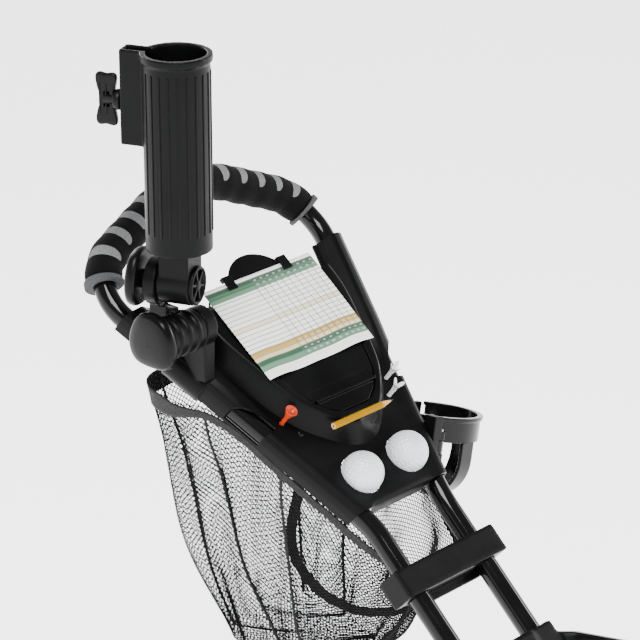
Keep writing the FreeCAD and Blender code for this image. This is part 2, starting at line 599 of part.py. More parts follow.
def make_socket(high, forward, turn):
    """The umbrella socket, its hinge barrel, bolt, knob, cap and clamp screw."""
    axis = high + forward * 24
    bottom = axis.z + 36
    wall = "Sizes.socket / 2 - Sizes.socket_wall"
    tube = rod((axis.x, axis.y, bottom), (0, 0, 1), "Sizes.socket / 2", "Sizes.socket_length")
    lip_start = bottom + size("socket_length") - size("socket_lip")
    lip = rod((axis.x, axis.y, lip_start), (0, 0, 1), "Sizes.socket / 2 + 2.5", "Sizes.socket_lip")
    room = rod((axis.x, axis.y, bottom + 14), (0, 0, 1), wall, "Sizes.socket_length")
    back = Vector(*forward) * -1
    channel_middle = axis + back * (size("socket") / 2 + 8)
    top = bottom + size("socket_length")
    channel = block((channel_middle.x, channel_middle.y, top - size("channel_length") / 2),
                    "Sizes.channel_width", "Sizes.channel_depth", "Sizes.channel_length", turn)
    slot = block((channel_middle.x, channel_middle.y, top - 40), "12", "22", "90", turn)
    slot_mouth = block((*(axis + back * 26)[:2], top - 40), "12", "24", "90", turn)
    neck = block((axis.x, axis.y, bottom - 14), "34", "31", "40", turn)
    barrel = rod(high + forward * 6.6, forward, "Sizes.pivot_barrel / 2", "33")
    bore = rod(high - forward * 80, forward, "Sizes.joint_bolt / 2 + Sizes.running_gap", "160")
    behind = block((*(high - forward * 27)[:2], high.z + 4), "80", "66.6", "60", turn)
    screw_height = top - 52
    screw_hole = rod(Vector(channel_middle.x, channel_middle.y, screw_height), back, "5.3", "40")
    node("umbrella_socket", cut(fuse(tube, lip, channel, neck, barrel), room, slot, slot_mouth, bore,
                                behind, screw_hole), BEND_FRAME)
    node("umbrella_joint_bolt", rod(high - forward * 28, forward, "Sizes.joint_bolt / 2", "64"),
         BEND_FRAME)
    cap = cut(rod(high + forward * 39.8, forward, "Sizes.cap / 2", "Sizes.cap_thickness"),
              rod(high + forward * 36, forward, "Sizes.joint_bolt / 2 + 0.6", "2"))
    node("umbrella_cap", cap, BEND_FRAME)
    knob = lobed_knob()
    knob.Placement = Placement(high - forward * 7, Rotation(Z_AXIS, back))
    node("umbrella_high_knob", knob, BEND_FRAME)
    start = Vector(channel_middle.x, channel_middle.y, screw_height) + back * 9
    shank = rod(start, back, "5.2", "8")
    collar = rod(start + back * 6, back, "10", "10")
    wing_side = turn.multVec(X_AXIS)
    ears = [rod(start + back * 15 + Vector(0, 0, lift) - wing_side * 4, wing_side, "12", "8")
            for lift in (-14, 14)]
    web = block((*(start + back * 17)[:2], start.z), "8", "12", "30", turn)
    node("umbrella_wing_screw", fuse(shank, collar, web, *[shift(ear, back * 6) for ear in ears]),
         BEND_FRAME)


# ---- bag cradles and straps ----

def cradle(label, down, sweep):
    """A yoke clamped on the tubes; its two arms sweep down the slope by a given length."""
    half = size("cradle_half")
    rise = size("cradle_rise")
    base = block((0, -down, 0), "136", "30", "30")
    grip = block((0, -down, 16), "74", "27", "3")
    arms = []
    slots = []
    for hand in (-1, 1):
        places = [(60, 0, -6, 8), (84, 0.3, 18, 7), (half - 5, 1, rise, 5)]
        loops = []
        for side, share, lift, thick in places:
            middle = -down - sweep * share
            loops.append([(hand * (side - thick), middle + 14, lift + thick * 0.6),
                          (hand * (side - thick), middle - 14, lift + thick * 0.6),
                          (hand * (side + thick), middle - 14, lift - thick * 0.6),
                          (hand * (side + thick), middle + 14, lift - thick * 0.6)])
        arms.append(shape_of("arm", ruled(*loops)))
        slots.append(block((hand * (half - 6), -down - sweep, rise - 6), "24", "26.5", "3"))
    bores = [rod((hand * size("tube_half_gap"), -down - 60, 0), (0, 1, 0), "Sizes.tube / 2 + 0.1", "120")
             for hand in (-1, 1)]
    return node(label, cut(fuse(base, grip, *arms), *bores, *slots), TUBE_FRAME)


def strap(label, down, sag):
    """A webbing strap hung between a cradle's two arms, with its ends in their slots."""
    half = size("cradle_half") - 12
    rise = size("cradle_rise") + 6
    thick = size("strap_thickness")
    edges = []
    for lift in (0, -thick):
        edges.append(Part.Arc(Vector(-half, 0, rise + lift), Vector(0, 0, rise - sag + lift),
                              Vector(half, 0, rise + lift)).toShape())
    for hand in (-1, 1):
        edges.append(Part.makeLine(Vector(hand * half, 0, rise), Vector(hand * half, 0, rise - thick)))
    face = Part.Face(Part.Wire(Part.__sortEdges__(edges)))
    webbing = shape_of("webbing", face.extrude(Vector(0, size("strap_width"), 0)))
    webbing.Placement = Placement(Vector(0, -down - size("strap_width") / 2, 0), Rotation())
    return node(label, webbing, TUBE_FRAME)


# ---- folding hinge ----

def make_hinge():
    """The two hinge blocks, their pin and the lever that locks them."""
    down = -size("hinge_down")
    rise = size("hinge_rise")
    gap = size("tube_half_gap")
    for label, hand, barrels in (("hinge_upper", 1, (-49, 49)), ("hinge_lower", -1, (0,))):
        middle = down + hand * 18.3
        body = block((0, middle, 2), "Sizes.hinge_width", "Sizes.hinge_depth", "Sizes.hinge_height")
        lugs = []
        for side in barrels:
            wide = "24" if len(barrels) == 2 else "72"
            lugs.append(block((side, down + hand * 9, (rise + 16) / 2), wide, "18", f"{rise - 14}"))
            lugs.append(across((side, down, rise), "Sizes.hinge_barrel / 2", wide))
        bores = [rod((side * gap, down + hand * 12, 0), (0, hand, 0), "Sizes.tube / 2 + 0.1", "60")
                 for side in (-1, 1)]
        pin_bore = across((0, down, rise), "Sizes.hinge_pin / 2 + Sizes.running_gap", "200")
        seat = across((0, down, rise), "Sizes.hinge_barrel / 2 + 0.4", "73")
        if len(barrels) == 1:
            pin_bore = across((0, down, rise), "Sizes.hinge_pin / 2", "200")
            clear = [across((place, down, rise), "Sizes.hinge_barrel / 2 + 0.4", "26")
                     for place in (-50, 50)]
            piece = cut(fuse(cut(body, *clear), *lugs), *bores, pin_bore)
        else:
            piece = cut(fuse(cut(body, seat), *lugs), *bores, pin_bore)
        node(label, piece, TUBE_FRAME)
    node("hinge_pin", fuse(across((0, down, rise), "Sizes.hinge_pin / 2", "136"),
                           across((-66, down, rise), "8", "4")), TUBE_FRAME)
    fork = across((70, down, rise), "6", "10")
    handle = block((76, down + 22, rise), "8", "64", "14")
    hole = across((66, down, rise), "4.05", "8")
    node("hinge_lever", cut(fuse(fork, handle), hole), TUBE_FRAME)


# ---- lower frame ----

def lower_spot(down, side=0, rise=0):
    """A point on the lower run, measured from the bend in upright axes."""
    return TUBE_FRAME.multVec(Vector(side, -down, rise)) - BEND


def front_axle_down():
    """How far down the tubes the front axle lies, so that its wheel meets the ground."""
    drop = size("bend_height") - size("front_wheel") / 2
    return drop / math.sin(math.radians(size("frame_angle")))


def make_lower_frame():
    """The lower tubes, fork ends, front axle and the hub that carries the rear arms."""
    gap = size("tube_half_gap")
    start = size("hinge_down") + 14
    finish = front_axle_down() - 18
    tubes = [cut(rod((hand * gap, -start, 0), (0, -1, 0), "Sizes.tube / 2", f"{finish - start}"),
                 rod((hand * gap, -start + 5, 0), (0, -1, 0), "Sizes.tube / 2 - Sizes.tube_wall",
                     f"{finish - start + 10}")) for hand in (-1, 1)]
    node("lower_tubes", group(*tubes), TUBE_FRAME)
    axle_down = front_axle_down()
    ends = []
    for hand in (-1, 1):
        tip = block((hand * gap, -axle_down + 12, 0), "20", "60", "28")
        socket = rod((hand * gap, -axle_down + 18 + 40, 0), (0, -1, 0), "Sizes.tube / 2 + 0.1", "40")
        bore = across((hand * gap, -axle_down, 0), "Sizes.axle / 2", "40")
        ends.append(cut(tip, socket, bore))
    node("fork_ends", group(*ends), TUBE_FRAME)
    node("front_axle", fuse(across((0, -axle_down, 0), "Sizes.axle / 2", "126"),
                            across((64.5, -axle_down, 0), "9", "9"),
                            across((-64.5, -axle_down, 0), "9", "9")), TUBE_FRAME)
    hub_down = size("rear_hub_down")
    side = size("arm_pivot_side")
    body = block((0, -hub_down, -4), "Sizes.hub_width", "Sizes.hub_depth", "Sizes.hub_height")
    bores = [rod((hand * gap, -hub_down - 80, 0), (0, 1, 0), "Sizes.tube / 2 + 0.1", "160")
             for hand in (-1, 1)]
    ears = [block((hand * (side - 6), -hub_down + end * 31, -6), "40", "14", "30")
            for hand in (-1, 1) for end in (-1, 1)]
    pin_bores = [rod((hand * side, -hub_down - 60, -6), (0, 1, 0), "Sizes.arm_pin / 2", "120")
                 for hand in (-1, 1)]
    room = [rod((hand * side, -hub_down - 24, -6), (0, 1, 0), "16", "48") for hand in (-1, 1)]
    node("rear_hub", cut(fuse(body, *ears), *bores, *pin_bores, *room), TUBE_FRAME)
    pins = [fuse(rod((hand * side, -hub_down - 39, -6), (0, 1, 0), "Sizes.arm_pin / 2", "78"),
                 rod((hand * side, -hub_down + 38, -6), (0, 1, 0), "7", "4")) for hand in (-1, 1)]
    node("arm_pins", group(*pins), TUBE_FRAME)


def make_arm(name, hand):
    """One rear arm: pivot barrel, tube and the block that carries the wheel's axle."""
    pivot = lower_spot(size("rear_hub_down"), hand * size("arm_pivot_side"), -6)
    up_way = TUBE_FRAME.Rotation.multVec(Y_AXIS)
    ground = size("rear_wheel") / 2 - size("bend_height")
    centre = Vector(hand * size("rear_side"), size("rear_back"), ground)
    end = centre - Vector(hand * (size("hub_half") + 14), 0, 0)
    way = (end - pivot).normalize()
    long = (end - pivot).Length
    barrel = rod(pivot - up_way * 23, up_way, "14", "46")
    tube = cut(rod(pivot, way, "Sizes.arm_tube / 2", f"{long}"),
               rod(pivot + way * 30, way, "Sizes.arm_tube / 2 - 2", f"{long}"))
    tip = across(end, "16", "20")
    bore = rod(pivot - up_way * 60, up_way, "Sizes.arm_pin / 2 + Sizes.running_gap", "120")
    axle_bore = across(end, "Sizes.axle / 2", "60")
    node(f"rear_arm_{name}", cut(fuse(barrel, tube, tip), bore, axle_bore), BEND_FRAME)
    # the left axle runs further in, to carry the brake pedal
    reach = 80 if hand < 0 else 50
    inner = centre - Vector(hand * reach, 0, 0)
    axle = [rod(inner, (hand, 0, 0), "Sizes.axle / 2", f"{reach + size('hub_half') + 6}"),
            rod(centre + Vector(hand * (size("hub_half") + 2), 0, 0), (hand, 0, 0), "11", "3")]
    if hand < 0:
        axle.append(rod(inner, (hand, 0, 0), "9", "3"))
    node(f"rear_axle_{name}", fuse(*axle), BEND_FRAME)
    make_wheel(f"rear_{name}", centre, "Sizes.rear_wheel")


def make_wheel(name, centre, across_size):
    """Tyre, spoked rim and a pair of bearings around an axle along X."""
    wide = size("tyre_width") / 2
    outer = worth(across_size) / 2
    inner = outer - size("tyre_depth")
    tyre = turned([(inner, -wide + 6), (outer - 16, -wide), (outer - 5, -wide + 6), (outer, -wide + 15),
                   (outer, wide - 15), (outer - 5, wide - 6), (outer - 16, wide), (inner, wide - 6)])
    tyre.Placement = Placement(centre, Rotation(Y_AXIS, 90))
    node(f"{name}_tyre", tyre, BEND_FRAME)
    rim_wall = size("rim_wall")
    ring = turned([(inner - 0.1, -wide + 8), (inner - 0.1, wide - 8), (inner - 4, wide - 6),
                   (inner - rim_wall, wide - 10), (inner - rim_wall, -wide + 10), (inner - 4, -wide + 6)])
    ring.Placement = Placement(centre, Rotation(Y_AXIS, 90))
    hub = across(centre, "Sizes.hub / 2", "2 * Sizes.hub_half")
    arms = []
    long = inner - rim_wall + 2
    spokes = int(size("spokes"))
    for number in range(spokes):
        angle = 2 * math.pi * number / spokes
        way = Vector(0, math.cos(angle), math.sin(angle))
        turn = Rotation(X_AXIS, math.degrees(angle))
        arms.append(block(centre + way * (long / 2 + 8), "Sizes.spoke_depth", f"{long - 14}",
                          "Sizes.spoke_width", turn))
    bore = across(centre, "Sizes.axle / 2 + 3", "90")
    seats = [across(centre + Vector(end * (size("hub_half") - 4), 0, 0), "Sizes.bearing / 2", "8.2")
             for end in (-1, 1)]
    node(f"{name}_rim", cut(fuse(ring, hub, *arms), bore, *seats), BEND_FRAME)
    races = [cut(across(centre + Vector(end * (size("hub_half") - 4), 0, 0), "Sizes.bearing / 2",
                        "Sizes.bearing_width"),
                 across(centre, "Sizes.axle / 2 + Sizes.running_gap", "90")) for end in (-1, 1)]
    node(f"{name}_bearings", group(*races), BEND_FRAME)


def make_brake():
    """A foot pedal on the left arm's axle block."""
    ground = size("rear_wheel") / 2 - size("bend_height")
    end_x = -size("rear_side") + size("hub_half") + 14
    place = Vector(end_x + 26, size("rear_back"), ground)
    boss = across(place, "9", "16")
    lever = block(place + Vector(0, 40, 8), "16", "72", "6")
    pad = block(place + Vector(0, 78, 9), "Sizes.pedal_width", "Sizes.pedal_depth", "8")
    bore = across(place, "Sizes.axle / 2 + Sizes.running_gap", "60")
    node("brake_pedal", cut(fuse(boss, lever, pad), bore), BEND_FRAME)


# ---- write everything ----

make_handle()
make_deck()
make_bin()
make_lid()
make_accessories()
make_bracket()
make_net()
make_cup_holder()
make_umbrella()
for place, down, sweep in (("upper", size("cradle_down"), size("cradle_sweep")),
                           ("lower", size("low_cradle_down"), 0)):
    cradle(f"{place}_cradle", down, sweep)
    strap(f"{place}_strap", down + sweep, size("strap_sag"))
make_hinge()
make_lower_frame()
make_wheel("front", lower_spot(front_axle_down()), "Sizes.front_wheel")
make_arm("left", -1)
make_arm("right", 1)
make_brake()
document.recompute()
for feature in document.Objects:
    if "Invalid" in feature.State or "Error" in feature.State:
        users = [user.Label for user in feature.InList]
        raise RuntimeError(f"{feature.Name} ({feature.Label}), used by {users}, could not be built")
os.makedirs("parts", exist_ok=True)
for feature in NODES:
    if feature.Shape.isNull() or not feature.Shape.isValid():
        raise RuntimeError(f"{feature.Label} has no valid shape")
    feature.Shape.exportStep(f"parts/{feature.Label}.step")
    print(f"{feature.Label:24s} {len(feature.Shape.Solids)} solid(s) {feature.Shape.Volume:12.1f} mm3")
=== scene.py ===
import math

import bmesh
import bpy
import numpy as np
from mathutils import Matrix, Vector


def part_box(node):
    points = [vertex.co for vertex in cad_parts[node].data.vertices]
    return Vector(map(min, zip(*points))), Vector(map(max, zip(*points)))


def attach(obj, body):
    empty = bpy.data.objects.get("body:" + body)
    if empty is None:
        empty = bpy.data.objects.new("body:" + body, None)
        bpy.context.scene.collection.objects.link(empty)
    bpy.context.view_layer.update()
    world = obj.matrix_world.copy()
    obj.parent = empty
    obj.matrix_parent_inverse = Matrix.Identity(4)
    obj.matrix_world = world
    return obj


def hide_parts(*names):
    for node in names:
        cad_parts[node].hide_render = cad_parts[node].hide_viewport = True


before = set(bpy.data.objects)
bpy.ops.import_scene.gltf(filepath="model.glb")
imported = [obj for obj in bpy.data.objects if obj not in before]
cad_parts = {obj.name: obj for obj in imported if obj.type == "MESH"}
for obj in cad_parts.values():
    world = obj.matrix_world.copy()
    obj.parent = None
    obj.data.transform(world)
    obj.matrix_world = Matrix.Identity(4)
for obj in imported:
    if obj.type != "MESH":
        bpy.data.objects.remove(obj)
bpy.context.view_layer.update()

# A three-wheel golf push cart. Lengths below are in millimetres, in the frames that the cart's tubes
# make: "leg" points lie on the handle's legs, "tube" points on the steeper lower run, and "near"
# points are measured from the bend between the two. MM turns them into Blender's metres.
MM = 0.001
LEG_ANGLE = math.radians(37)
TUBE_ANGLE = math.radians(43)
HALF_GAP = 50           # from the middle to a tube's centre line, below the bend
TUBE_RADIUS = 11.1
TUBE_FOOT = -322        # how far down the lower run the handle's legs reach
SHOULDER = (162, 352.5) # side and up of the bend between a leg and the grip
CROWN = (409, 40)       # up and rise of the grip's middle
BALL_SIDE = 33
BALL_SPOT = (50, 17)    # up and rise of both balls' centres
BALL_RADIUS = 21.35
DECK_RISE = 14
TEES = ((77, 131), (65, 113), (-77, 131))  # side and up of two white tees and the orange one
TEE_FOOT = -8
PENCIL_UP = 99
RIM_RISE = 33
YAW = math.radians(22.2)                   # the umbrella joint's turn about the upright
PIVOT = (-150, 162, 188)                   # the umbrella arm's swivel, as a near point
JOINT = (-150, 190, 236)                   # the socket's tilt joint, as a near point
SOCKET_REACH = 24                          # from the tilt joint to the socket's axis
STRAP_WIDTH = 25
MOST_TRIANGLES = 110000                    # a moulding with more is thinned out
RNG = np.random.default_rng(7)


def turned_up(up, rise, angle):
    """A point on a sloping plane, as its way back and its height."""
    return (up * math.cos(angle) - rise * math.sin(angle), up * math.sin(angle) + rise * math.cos(angle))


ball_low, ball_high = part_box("golf_balls")
BEND = (ball_low + ball_high) / 2 - Vector((0, *turned_up(*BALL_SPOT, LEG_ANGLE))) * MM


def near(side, back, rise):
    """A point measured from the bend."""
    return BEND + Vector((side, back, rise)) * MM


def leg(side, up, rise):
    """A point on or over the plane of the handle's legs."""
    return near(side, *turned_up(up, rise, LEG_ANGLE))


def tube(side, up, rise):
    """A point on or over the plane of the lower run."""
    return near(side, *turned_up(up, rise, TUBE_ANGLE))


def leg_side(up):
    """How far a leg's centre line stands from the middle."""
    return HALF_GAP + (SHOULDER[0] - HALF_GAP) * up / SHOULDER[1]


UP = Vector((0, 0, 1))
LEG_NORMAL = Vector((0, -math.sin(LEG_ANGLE), math.cos(LEG_ANGLE)))
FORWARD = Vector((math.sin(YAW), -math.cos(YAW), 0))
TILT_JOINT = near(*JOINT)
SOCKET_AXIS = TILT_JOINT + FORWARD * (SOCKET_REACH * MM)


# ---- camera, floor and light ----

def add_camera():
    """The camera looks down 22 degrees from the left front corner, with a long lens."""
    way = Vector((0.6836, 0.6264, -0.3746)).normalized()
    data = bpy.data.cameras.new("camera")
    data.sensor_width = 36
    data.lens = 168.75
    data.clip_end = 60
    camera = bpy.data.objects.new("camera", data)
    camera.location = near(-2015.2, -1730.4, 1274.5)
    camera.rotation_euler = way.to_track_quat("-Z", "Y").to_euler()
    bpy.context.scene.collection.objects.link(camera)
    bpy.context.scene.camera = camera


def add_area_light(name, place, aim, width, power):
    """A square soft light that faces a point."""
    data = bpy.data.lights.new(name, "AREA")
    data.shape = "SQUARE"
    data.size = width
    data.energy = power
    light = bpy.data.objects.new(name, data)
    light.location = place
    light.rotation_euler = (Vector(aim) - Vector(place)).to_track_quat("-Z", "Y").to_euler()
    bpy.context.scene.collection.objects.link(light)


def add_studio():
    """A bright band at the horizon under a darker dome, three soft lights, and a pale floor."""
    world = bpy.data.worlds.new("studio")
    world.use_nodes = True
    bpy.context.scene.world = world
    nodes = world.node_tree.nodes
    links = world.node_tree.links
    backdrop = nodes["Background"]
    backdrop.inputs["Color"].default_value = (1, 1, 1, 1)
    place = nodes.new("ShaderNodeTexCoord")
    split = nodes.new("ShaderNodeSeparateXYZ")
    fade = nodes.new("ShaderNodeMapRange")
    for name, value in (("From Min", 0.10), ("From Max", 0.34), ("To Min", 3.4), ("To Max", 0.5)):
        fade.inputs[name].default_value = value
    links.new(place.outputs["Generated"], split.inputs[0])
    links.new(split.outputs["Z"], fade.inputs["Value"])
    links.new(fade.outputs["Result"], backdrop.inputs["Strength"])
    aim = (0, 0, 0.8)
    add_area_light("key", (-1.2, -0.6, 3.4), aim, 1.3, 125)
    add_area_light("side", (2.6, -0.8, 1.7), aim, 0.8, 34)
    add_area_light("back", (0.6, 2.6, 2.2), aim, 0.9, 36)
    corners = [(-40, -40, 0), (40, -40, 0), (40, 40, 0), (-40, 40, 0)]
    floor = mesh_object("floor", corners, [(0, 1, 2, 3)], floor_material())


# ---- materials ----

def even(value):
    """A grey with the same value in all three channels."""
    return (value,) * 3


class Look:
    """A material, with short ways to add textures and sums to its nodes."""

    def __init__(self, name, levels):
        """Makes the material and sets some of its shader's levels by their labels."""
        self.material = bpy.data.materials.new(name)
        self.material.use_nodes = True
        self.nodes = self.material.node_tree.nodes
        self.links = self.material.node_tree.links
        self.shader = self.nodes["Principled BSDF"]
        for label, value in levels.items():
            self.shader.inputs[label].default_value = value

    def grain(self, scale, detail=4, kind="ShaderNodeTexNoise", output="Fac"):
        """A texture in object coordinates."""
        place = self.nodes.new("ShaderNodeTexCoord")
        texture = self.nodes.new(kind)
        texture.inputs["Scale"].default_value = scale
        if "Detail" in texture.inputs:
            texture.inputs["Detail"].default_value = detail
        self.links.new(place.outputs["Object"], texture.inputs["Vector"])
        return texture.outputs[output]

    def bump(self, height, strength, distance):
        """Sends a height through a bump node into the shader."""
        node = self.nodes.new("ShaderNodeBump")
        node.inputs["Strength"].default_value = strength
        node.inputs["Distance"].default_value = distance
        self.links.new(height, node.inputs["Height"])
        self.links.new(node.outputs["Normal"], self.shader.inputs["Normal"])

    def ramp(self, factor, low, high, start=0.35, stop=0.65):
        """A colour or grey that goes from one value to another as a factor rises."""
        node = self.nodes.new("ShaderNodeValToRGB")
        for element, place, colour in zip(node.color_ramp.elements, (start, stop), (low, high)):
            element.position = place
            element.color = (*colour, 1)
        self.links.new(factor, node.inputs["Fac"])
        return node.outputs["Color"]

    def shade(self, label, *ramp):
        """Sends a ramp into one of the shader's inputs."""
        self.links.new(self.ramp(*ramp), self.shader.inputs[label])

    def sum(self, operation, first, second):
        """A calculation's result; each value is a number or another node's output."""
        node = self.nodes.new("ShaderNodeMath")
        node.operation = operation
        for socket, value in zip(node.inputs, (first, second)):
            if isinstance(value, (int, float)):
                socket.default_value = value
            else:
                self.links.new(value, socket)
        return node.outputs[0]

    def stripe(self, value, low, high):
        """1 where a value lies between two limits, otherwise 0."""
        return self.both(self.sum("GREATER_THAN", value, low), self.sum("LESS_THAN", value, high))

    def cells(self, value, count, low, high):
        """A stripe between two shares of every cell, where a value is cut into so many cells."""
        return self.stripe(self.sum("FRACT", self.sum("MULTIPLY", value, count), 0), low, high)

    def both(self, first, *others):
        """1 where every mask is 1."""
        for mask in others:
            first = self.sum("MULTIPLY", first, mask)
        return first

    def over(self, base, top, mask):
        """Paints a plain colour over a node's colour where a mask says."""
        mix = self.nodes.new("ShaderNodeMix")
        mix.data_type = "RGBA"
        self.links.new(mask, mix.inputs["Factor"])
        self.links.new(base, mix.inputs["A"])
        mix.inputs["B"].default_value = (*top, 1)
        return mix.outputs["Result"]


def moulded_plastic(name, colour, rough, grain_scale=900, depth=0.00012, level=0.09):
    """Textured moulding: fine grain, cloudy sheen and faint wear."""
    look = Look(name, {"Specular IOR Level": level})
    cloud = look.grain(14, 5)
    look.shade("Base Color", cloud, colour, tuple(min(1, c * 1.35 + 0.001) for c in colour))
    look.shade("Roughness", cloud, even(rough - 0.06), even(rough + 0.08))
    look.bump(look.grain(grain_scale, 6), 0.55, depth)
    return look.material


def gloss_paint(name, colour, rough):
    """Gloss coating with a faint orange peel."""
    look = Look(name, {"Specular IOR Level": 0.2, "Coat Weight": 0.08, "Coat Roughness": 0.06})
    dust = look.grain(30, 8)
    look.shade("Base Color", dust, colour, tuple(c * 1.6 for c in colour), 0.45, 0.8)
    look.shade("Roughness", dust, even(rough), even(rough + 0.07))
    look.bump(look.grain(160, 2), 0.12, 0.0002)
    return look.material


def foam_material(name, colour, speckle, scale=700):
    """Closed-cell foam: matt, with fine pores."""
    look = Look(name, {"Specular IOR Level": 0.12, "Sheen Weight": 0.01})
    spots = look.grain(scale * 0.9, 8)
    look.shade("Base Color", spots, colour, speckle, 0.3, 0.7)
    look.shade("Roughness", spots, even(0.85), even(1))
    look.bump(look.grain(scale, kind="ShaderNodeTexVoronoi", output="Distance"), 0.7, 0.0004)
    return look.material


def webbing_material(name, colour):
    """Woven tape: crossed ribs."""
    look = Look(name, {"Sheen Weight": 0.04})
    place = look.nodes.new("ShaderNodeTexCoord")
    waves = []
    for direction in ("X", "Y"):
        wave = look.nodes.new("ShaderNodeTexWave")
        wave.bands_direction = direction
        wave.inputs["Scale"].default_value = 1400
        wave.inputs["Distortion"].default_value = 0.6
        look.links.new(place.outputs["UV"], wave.inputs["Vector"])
        waves.append(wave.outputs["Fac"])
    weave = look.sum("MAXIMUM", *waves)
    look.shade("Base Color", weave, colour, tuple(c * 2.2 for c in colour))
    look.shade("Roughness", look.grain(500, 5), even(0.75), even(0.95))
    look.bump(weave, 0.6, 0.0003)
    return look.material


def metal_material(name, colour, rough):
    """Plated steel with fine scratches."""
    look = Look(name, {"Metallic": 1})
    scratches = look.grain(420, 8)
    look.shade("Base Color", scratches, tuple(c * 0.75 for c in colour), colour)
    look.shade("Roughness", scratches, even(rough), even(rough + 0.2))
    look.bump(scratches, 0.2, 0.0001)
    return look.material


def ball_material():
    """White lacquer over the dimples, very slightly uneven."""
    look = Look("ball_white", {"Coat Weight": 0.5, "Subsurface Weight": 0.05})
    cloud = look.grain(60, 4)
    look.shade("Base Color", cloud, (0.72, 0.745, 0.79), (0.80, 0.82, 0.86))
    look.shade("Roughness", cloud, even(0.22), even(0.34))
    look.bump(cloud, 0.05, 0.0002)
    return look.material


def floor_material():
    """Matt white that gives off a little light, so that the backdrop looks near-white."""
    look = Look("floor_white", {"Roughness": 0.9, "Specular IOR Level": 0.1,
                                "Emission Color": (1, 1, 1, 1), "Emission Strength": 2.8})
    cloud = look.grain(1.5, 3)
    look.shade("Base Color", cloud, even(0.93), even(0.95))
    look.bump(cloud, 0.02, 0.001)
    return look.material


CARD_BANDS = [  # from the card's near edge to its far edge: start, stop, colour
    (0.085, 0.135, (0.10, 0.25, 0.14)), (0.135, 0.19, (0.02, 0.085, 0.04)),
    (0.19, 0.235, (0.72, 0.58, 0.30)), (0.235, 0.29, (0.50, 0.33, 0.07)),
    (0.50, 0.545, (0.82, 0.70, 0.48)), (0.845, 0.885, (0.10, 0.25, 0.14)),
    (0.885, 0.925, (0.04, 0.13, 0.06)), (0.925, 0.965, (0.02, 0.075, 0.035))]
CARD_ROWS = 22
CARD_COLUMNS = 17


def card_material():
    """Printed card: ruled rows and columns with green and tan bands, and no lettering."""
    look = Look("card_print", {})
    place = look.nodes.new("ShaderNodeTexCoord")
    split = look.nodes.new("ShaderNodeSeparateXYZ")
    look.links.new(place.outputs["UV"], split.inputs[0])
    along, upward = split.outputs["X"], split.outputs["Y"]
    fibre = look.grain(900, 5)
    colour = look.ramp(fibre, (0.90, 0.90, 0.87), (0.96, 0.96, 0.94))
    for start, stop, paint in CARD_BANDS:
        colour = look.over(colour, paint, look.stripe(upward, start, stop))
    printed = look.stripe(upward, 0.085, 0.965)
    right = look.stripe(along, 0.40, 0.99)
    rows = look.cells(upward, CARD_ROWS, 0, 0.13)
    columns = look.cells(along, CARD_COLUMNS, 0, 0.09)
    colour = look.over(colour, (0.13, 0.14, 0.14), look.both(rows, printed))
    colour = look.over(colour, (0.11, 0.12, 0.12), look.both(columns, right, printed))
    marks = look.both(look.cells(along, CARD_COLUMNS, 0.35, 0.75),
                      look.cells(upward, CARD_ROWS, 0.4, 0.75), right)
    for start, stop in ((0.085, 0.29), (0.845, 0.965)):
        faint = look.sum("MULTIPLY", look.both(marks, look.stripe(upward, start, stop)), 0.35)
        colour = look.over(colour, (0.8, 0.84, 0.8), faint)
    look.links.new(colour, look.shader.inputs["Base Color"])
    look.shade("Roughness", fibre, even(0.5), even(0.62))
    look.bump(fibre, 0.15, 0.0001)
    return look.material


# ---- mesh helpers ----

def mesh_object(name, points, faces, material, smooth=True):
    """A mesh from points in metres, linked into the scene."""
    mesh = bpy.data.meshes.new(name)
    mesh.from_pydata([tuple(p) for p in points], [], [tuple(f) for f in faces])
    mesh.materials.append(material)
    if smooth:
        mesh.polygons.foreach_set("use_smooth", [True] * len(mesh.polygons))
    mesh.update()
    piece = bpy.data.objects.new(name, mesh)
    bpy.context.scene.collection.objects.link(piece)
    return piece


def finish_piece(piece, body, slot, *nodes):
    """Puts a piece on its body and hides the CAD parts that it stands in for."""
    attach(piece, body)
    if nodes:
        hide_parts(*nodes)
    return piece


def give_uvs(piece, marks):
    """Gives each corner the place in the map that its point has."""
    layer = piece.data.uv_layers.new(name="UVMap")
    for loop in piece.data.loops:
        layer.data[loop.index].uv = marks[loop.vertex_index]


def thicken(piece, thickness, offset):
    """Makes a surface into a wall of a thickness in millimetres."""
    wall = piece.modifiers.new("wall", "SOLIDIFY")
    wall.thickness = thickness * MM
    wall.offset = offset
    apply_modifiers(piece)


def apply_modifiers(piece):
    """Fixes what the modifiers make into the mesh."""
    bpy.context.view_layer.update()
    graph = bpy.context.evaluated_depsgraph_get()
    mesh = bpy.data.meshes.new_from_object(piece.evaluated_get(graph))
    piece.modifiers.clear()
    piece.data = mesh
    return piece


def moulded(name, body, slot, material, node, voxel, soften):
    """A moulding with rounded edges: a CAD node's shape, remeshed and smoothed so many times."""
    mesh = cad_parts[node].data.copy()
    mesh.name = name
    piece = bpy.data.objects.new(name, mesh)
    bpy.context.scene.collection.objects.link(piece)
    remesh = piece.modifiers.new("remesh", "REMESH")
    remesh.mode = "VOXEL"
    remesh.voxel_size = voxel * MM
    remesh.use_smooth_shade = True
    soft = piece.modifiers.new("soft", "SMOOTH")
    soft.factor = 0.5
    soft.iterations = soften
    apply_modifiers(piece)
    triangles = len(piece.data.polygons) * 2
    if triangles > MOST_TRIANGLES:
        fewer = piece.modifiers.new("fewer", "DECIMATE")
        fewer.ratio = MOST_TRIANGLES / triangles
        apply_modifiers(piece)
        piece.data.polygons.foreach_set("use_smooth", [True] * len(piece.data.polygons))
    piece.data.materials.clear()
    piece.data.materials.append(material)
    finish_piece(piece, body, slot, node)


def grid_faces(rows, columns, closed=False):
    """Quads between rows of points, with the last column joined to the first if closed."""
    faces = []
    last = columns if closed else columns - 1
    for row in range(rows - 1):
        for column in range(last):
            beside = (column + 1) % columns
            faces.append((row * columns + column, row * columns + beside,
                          (row + 1) * columns + beside, (row + 1) * columns + column))
    return faces


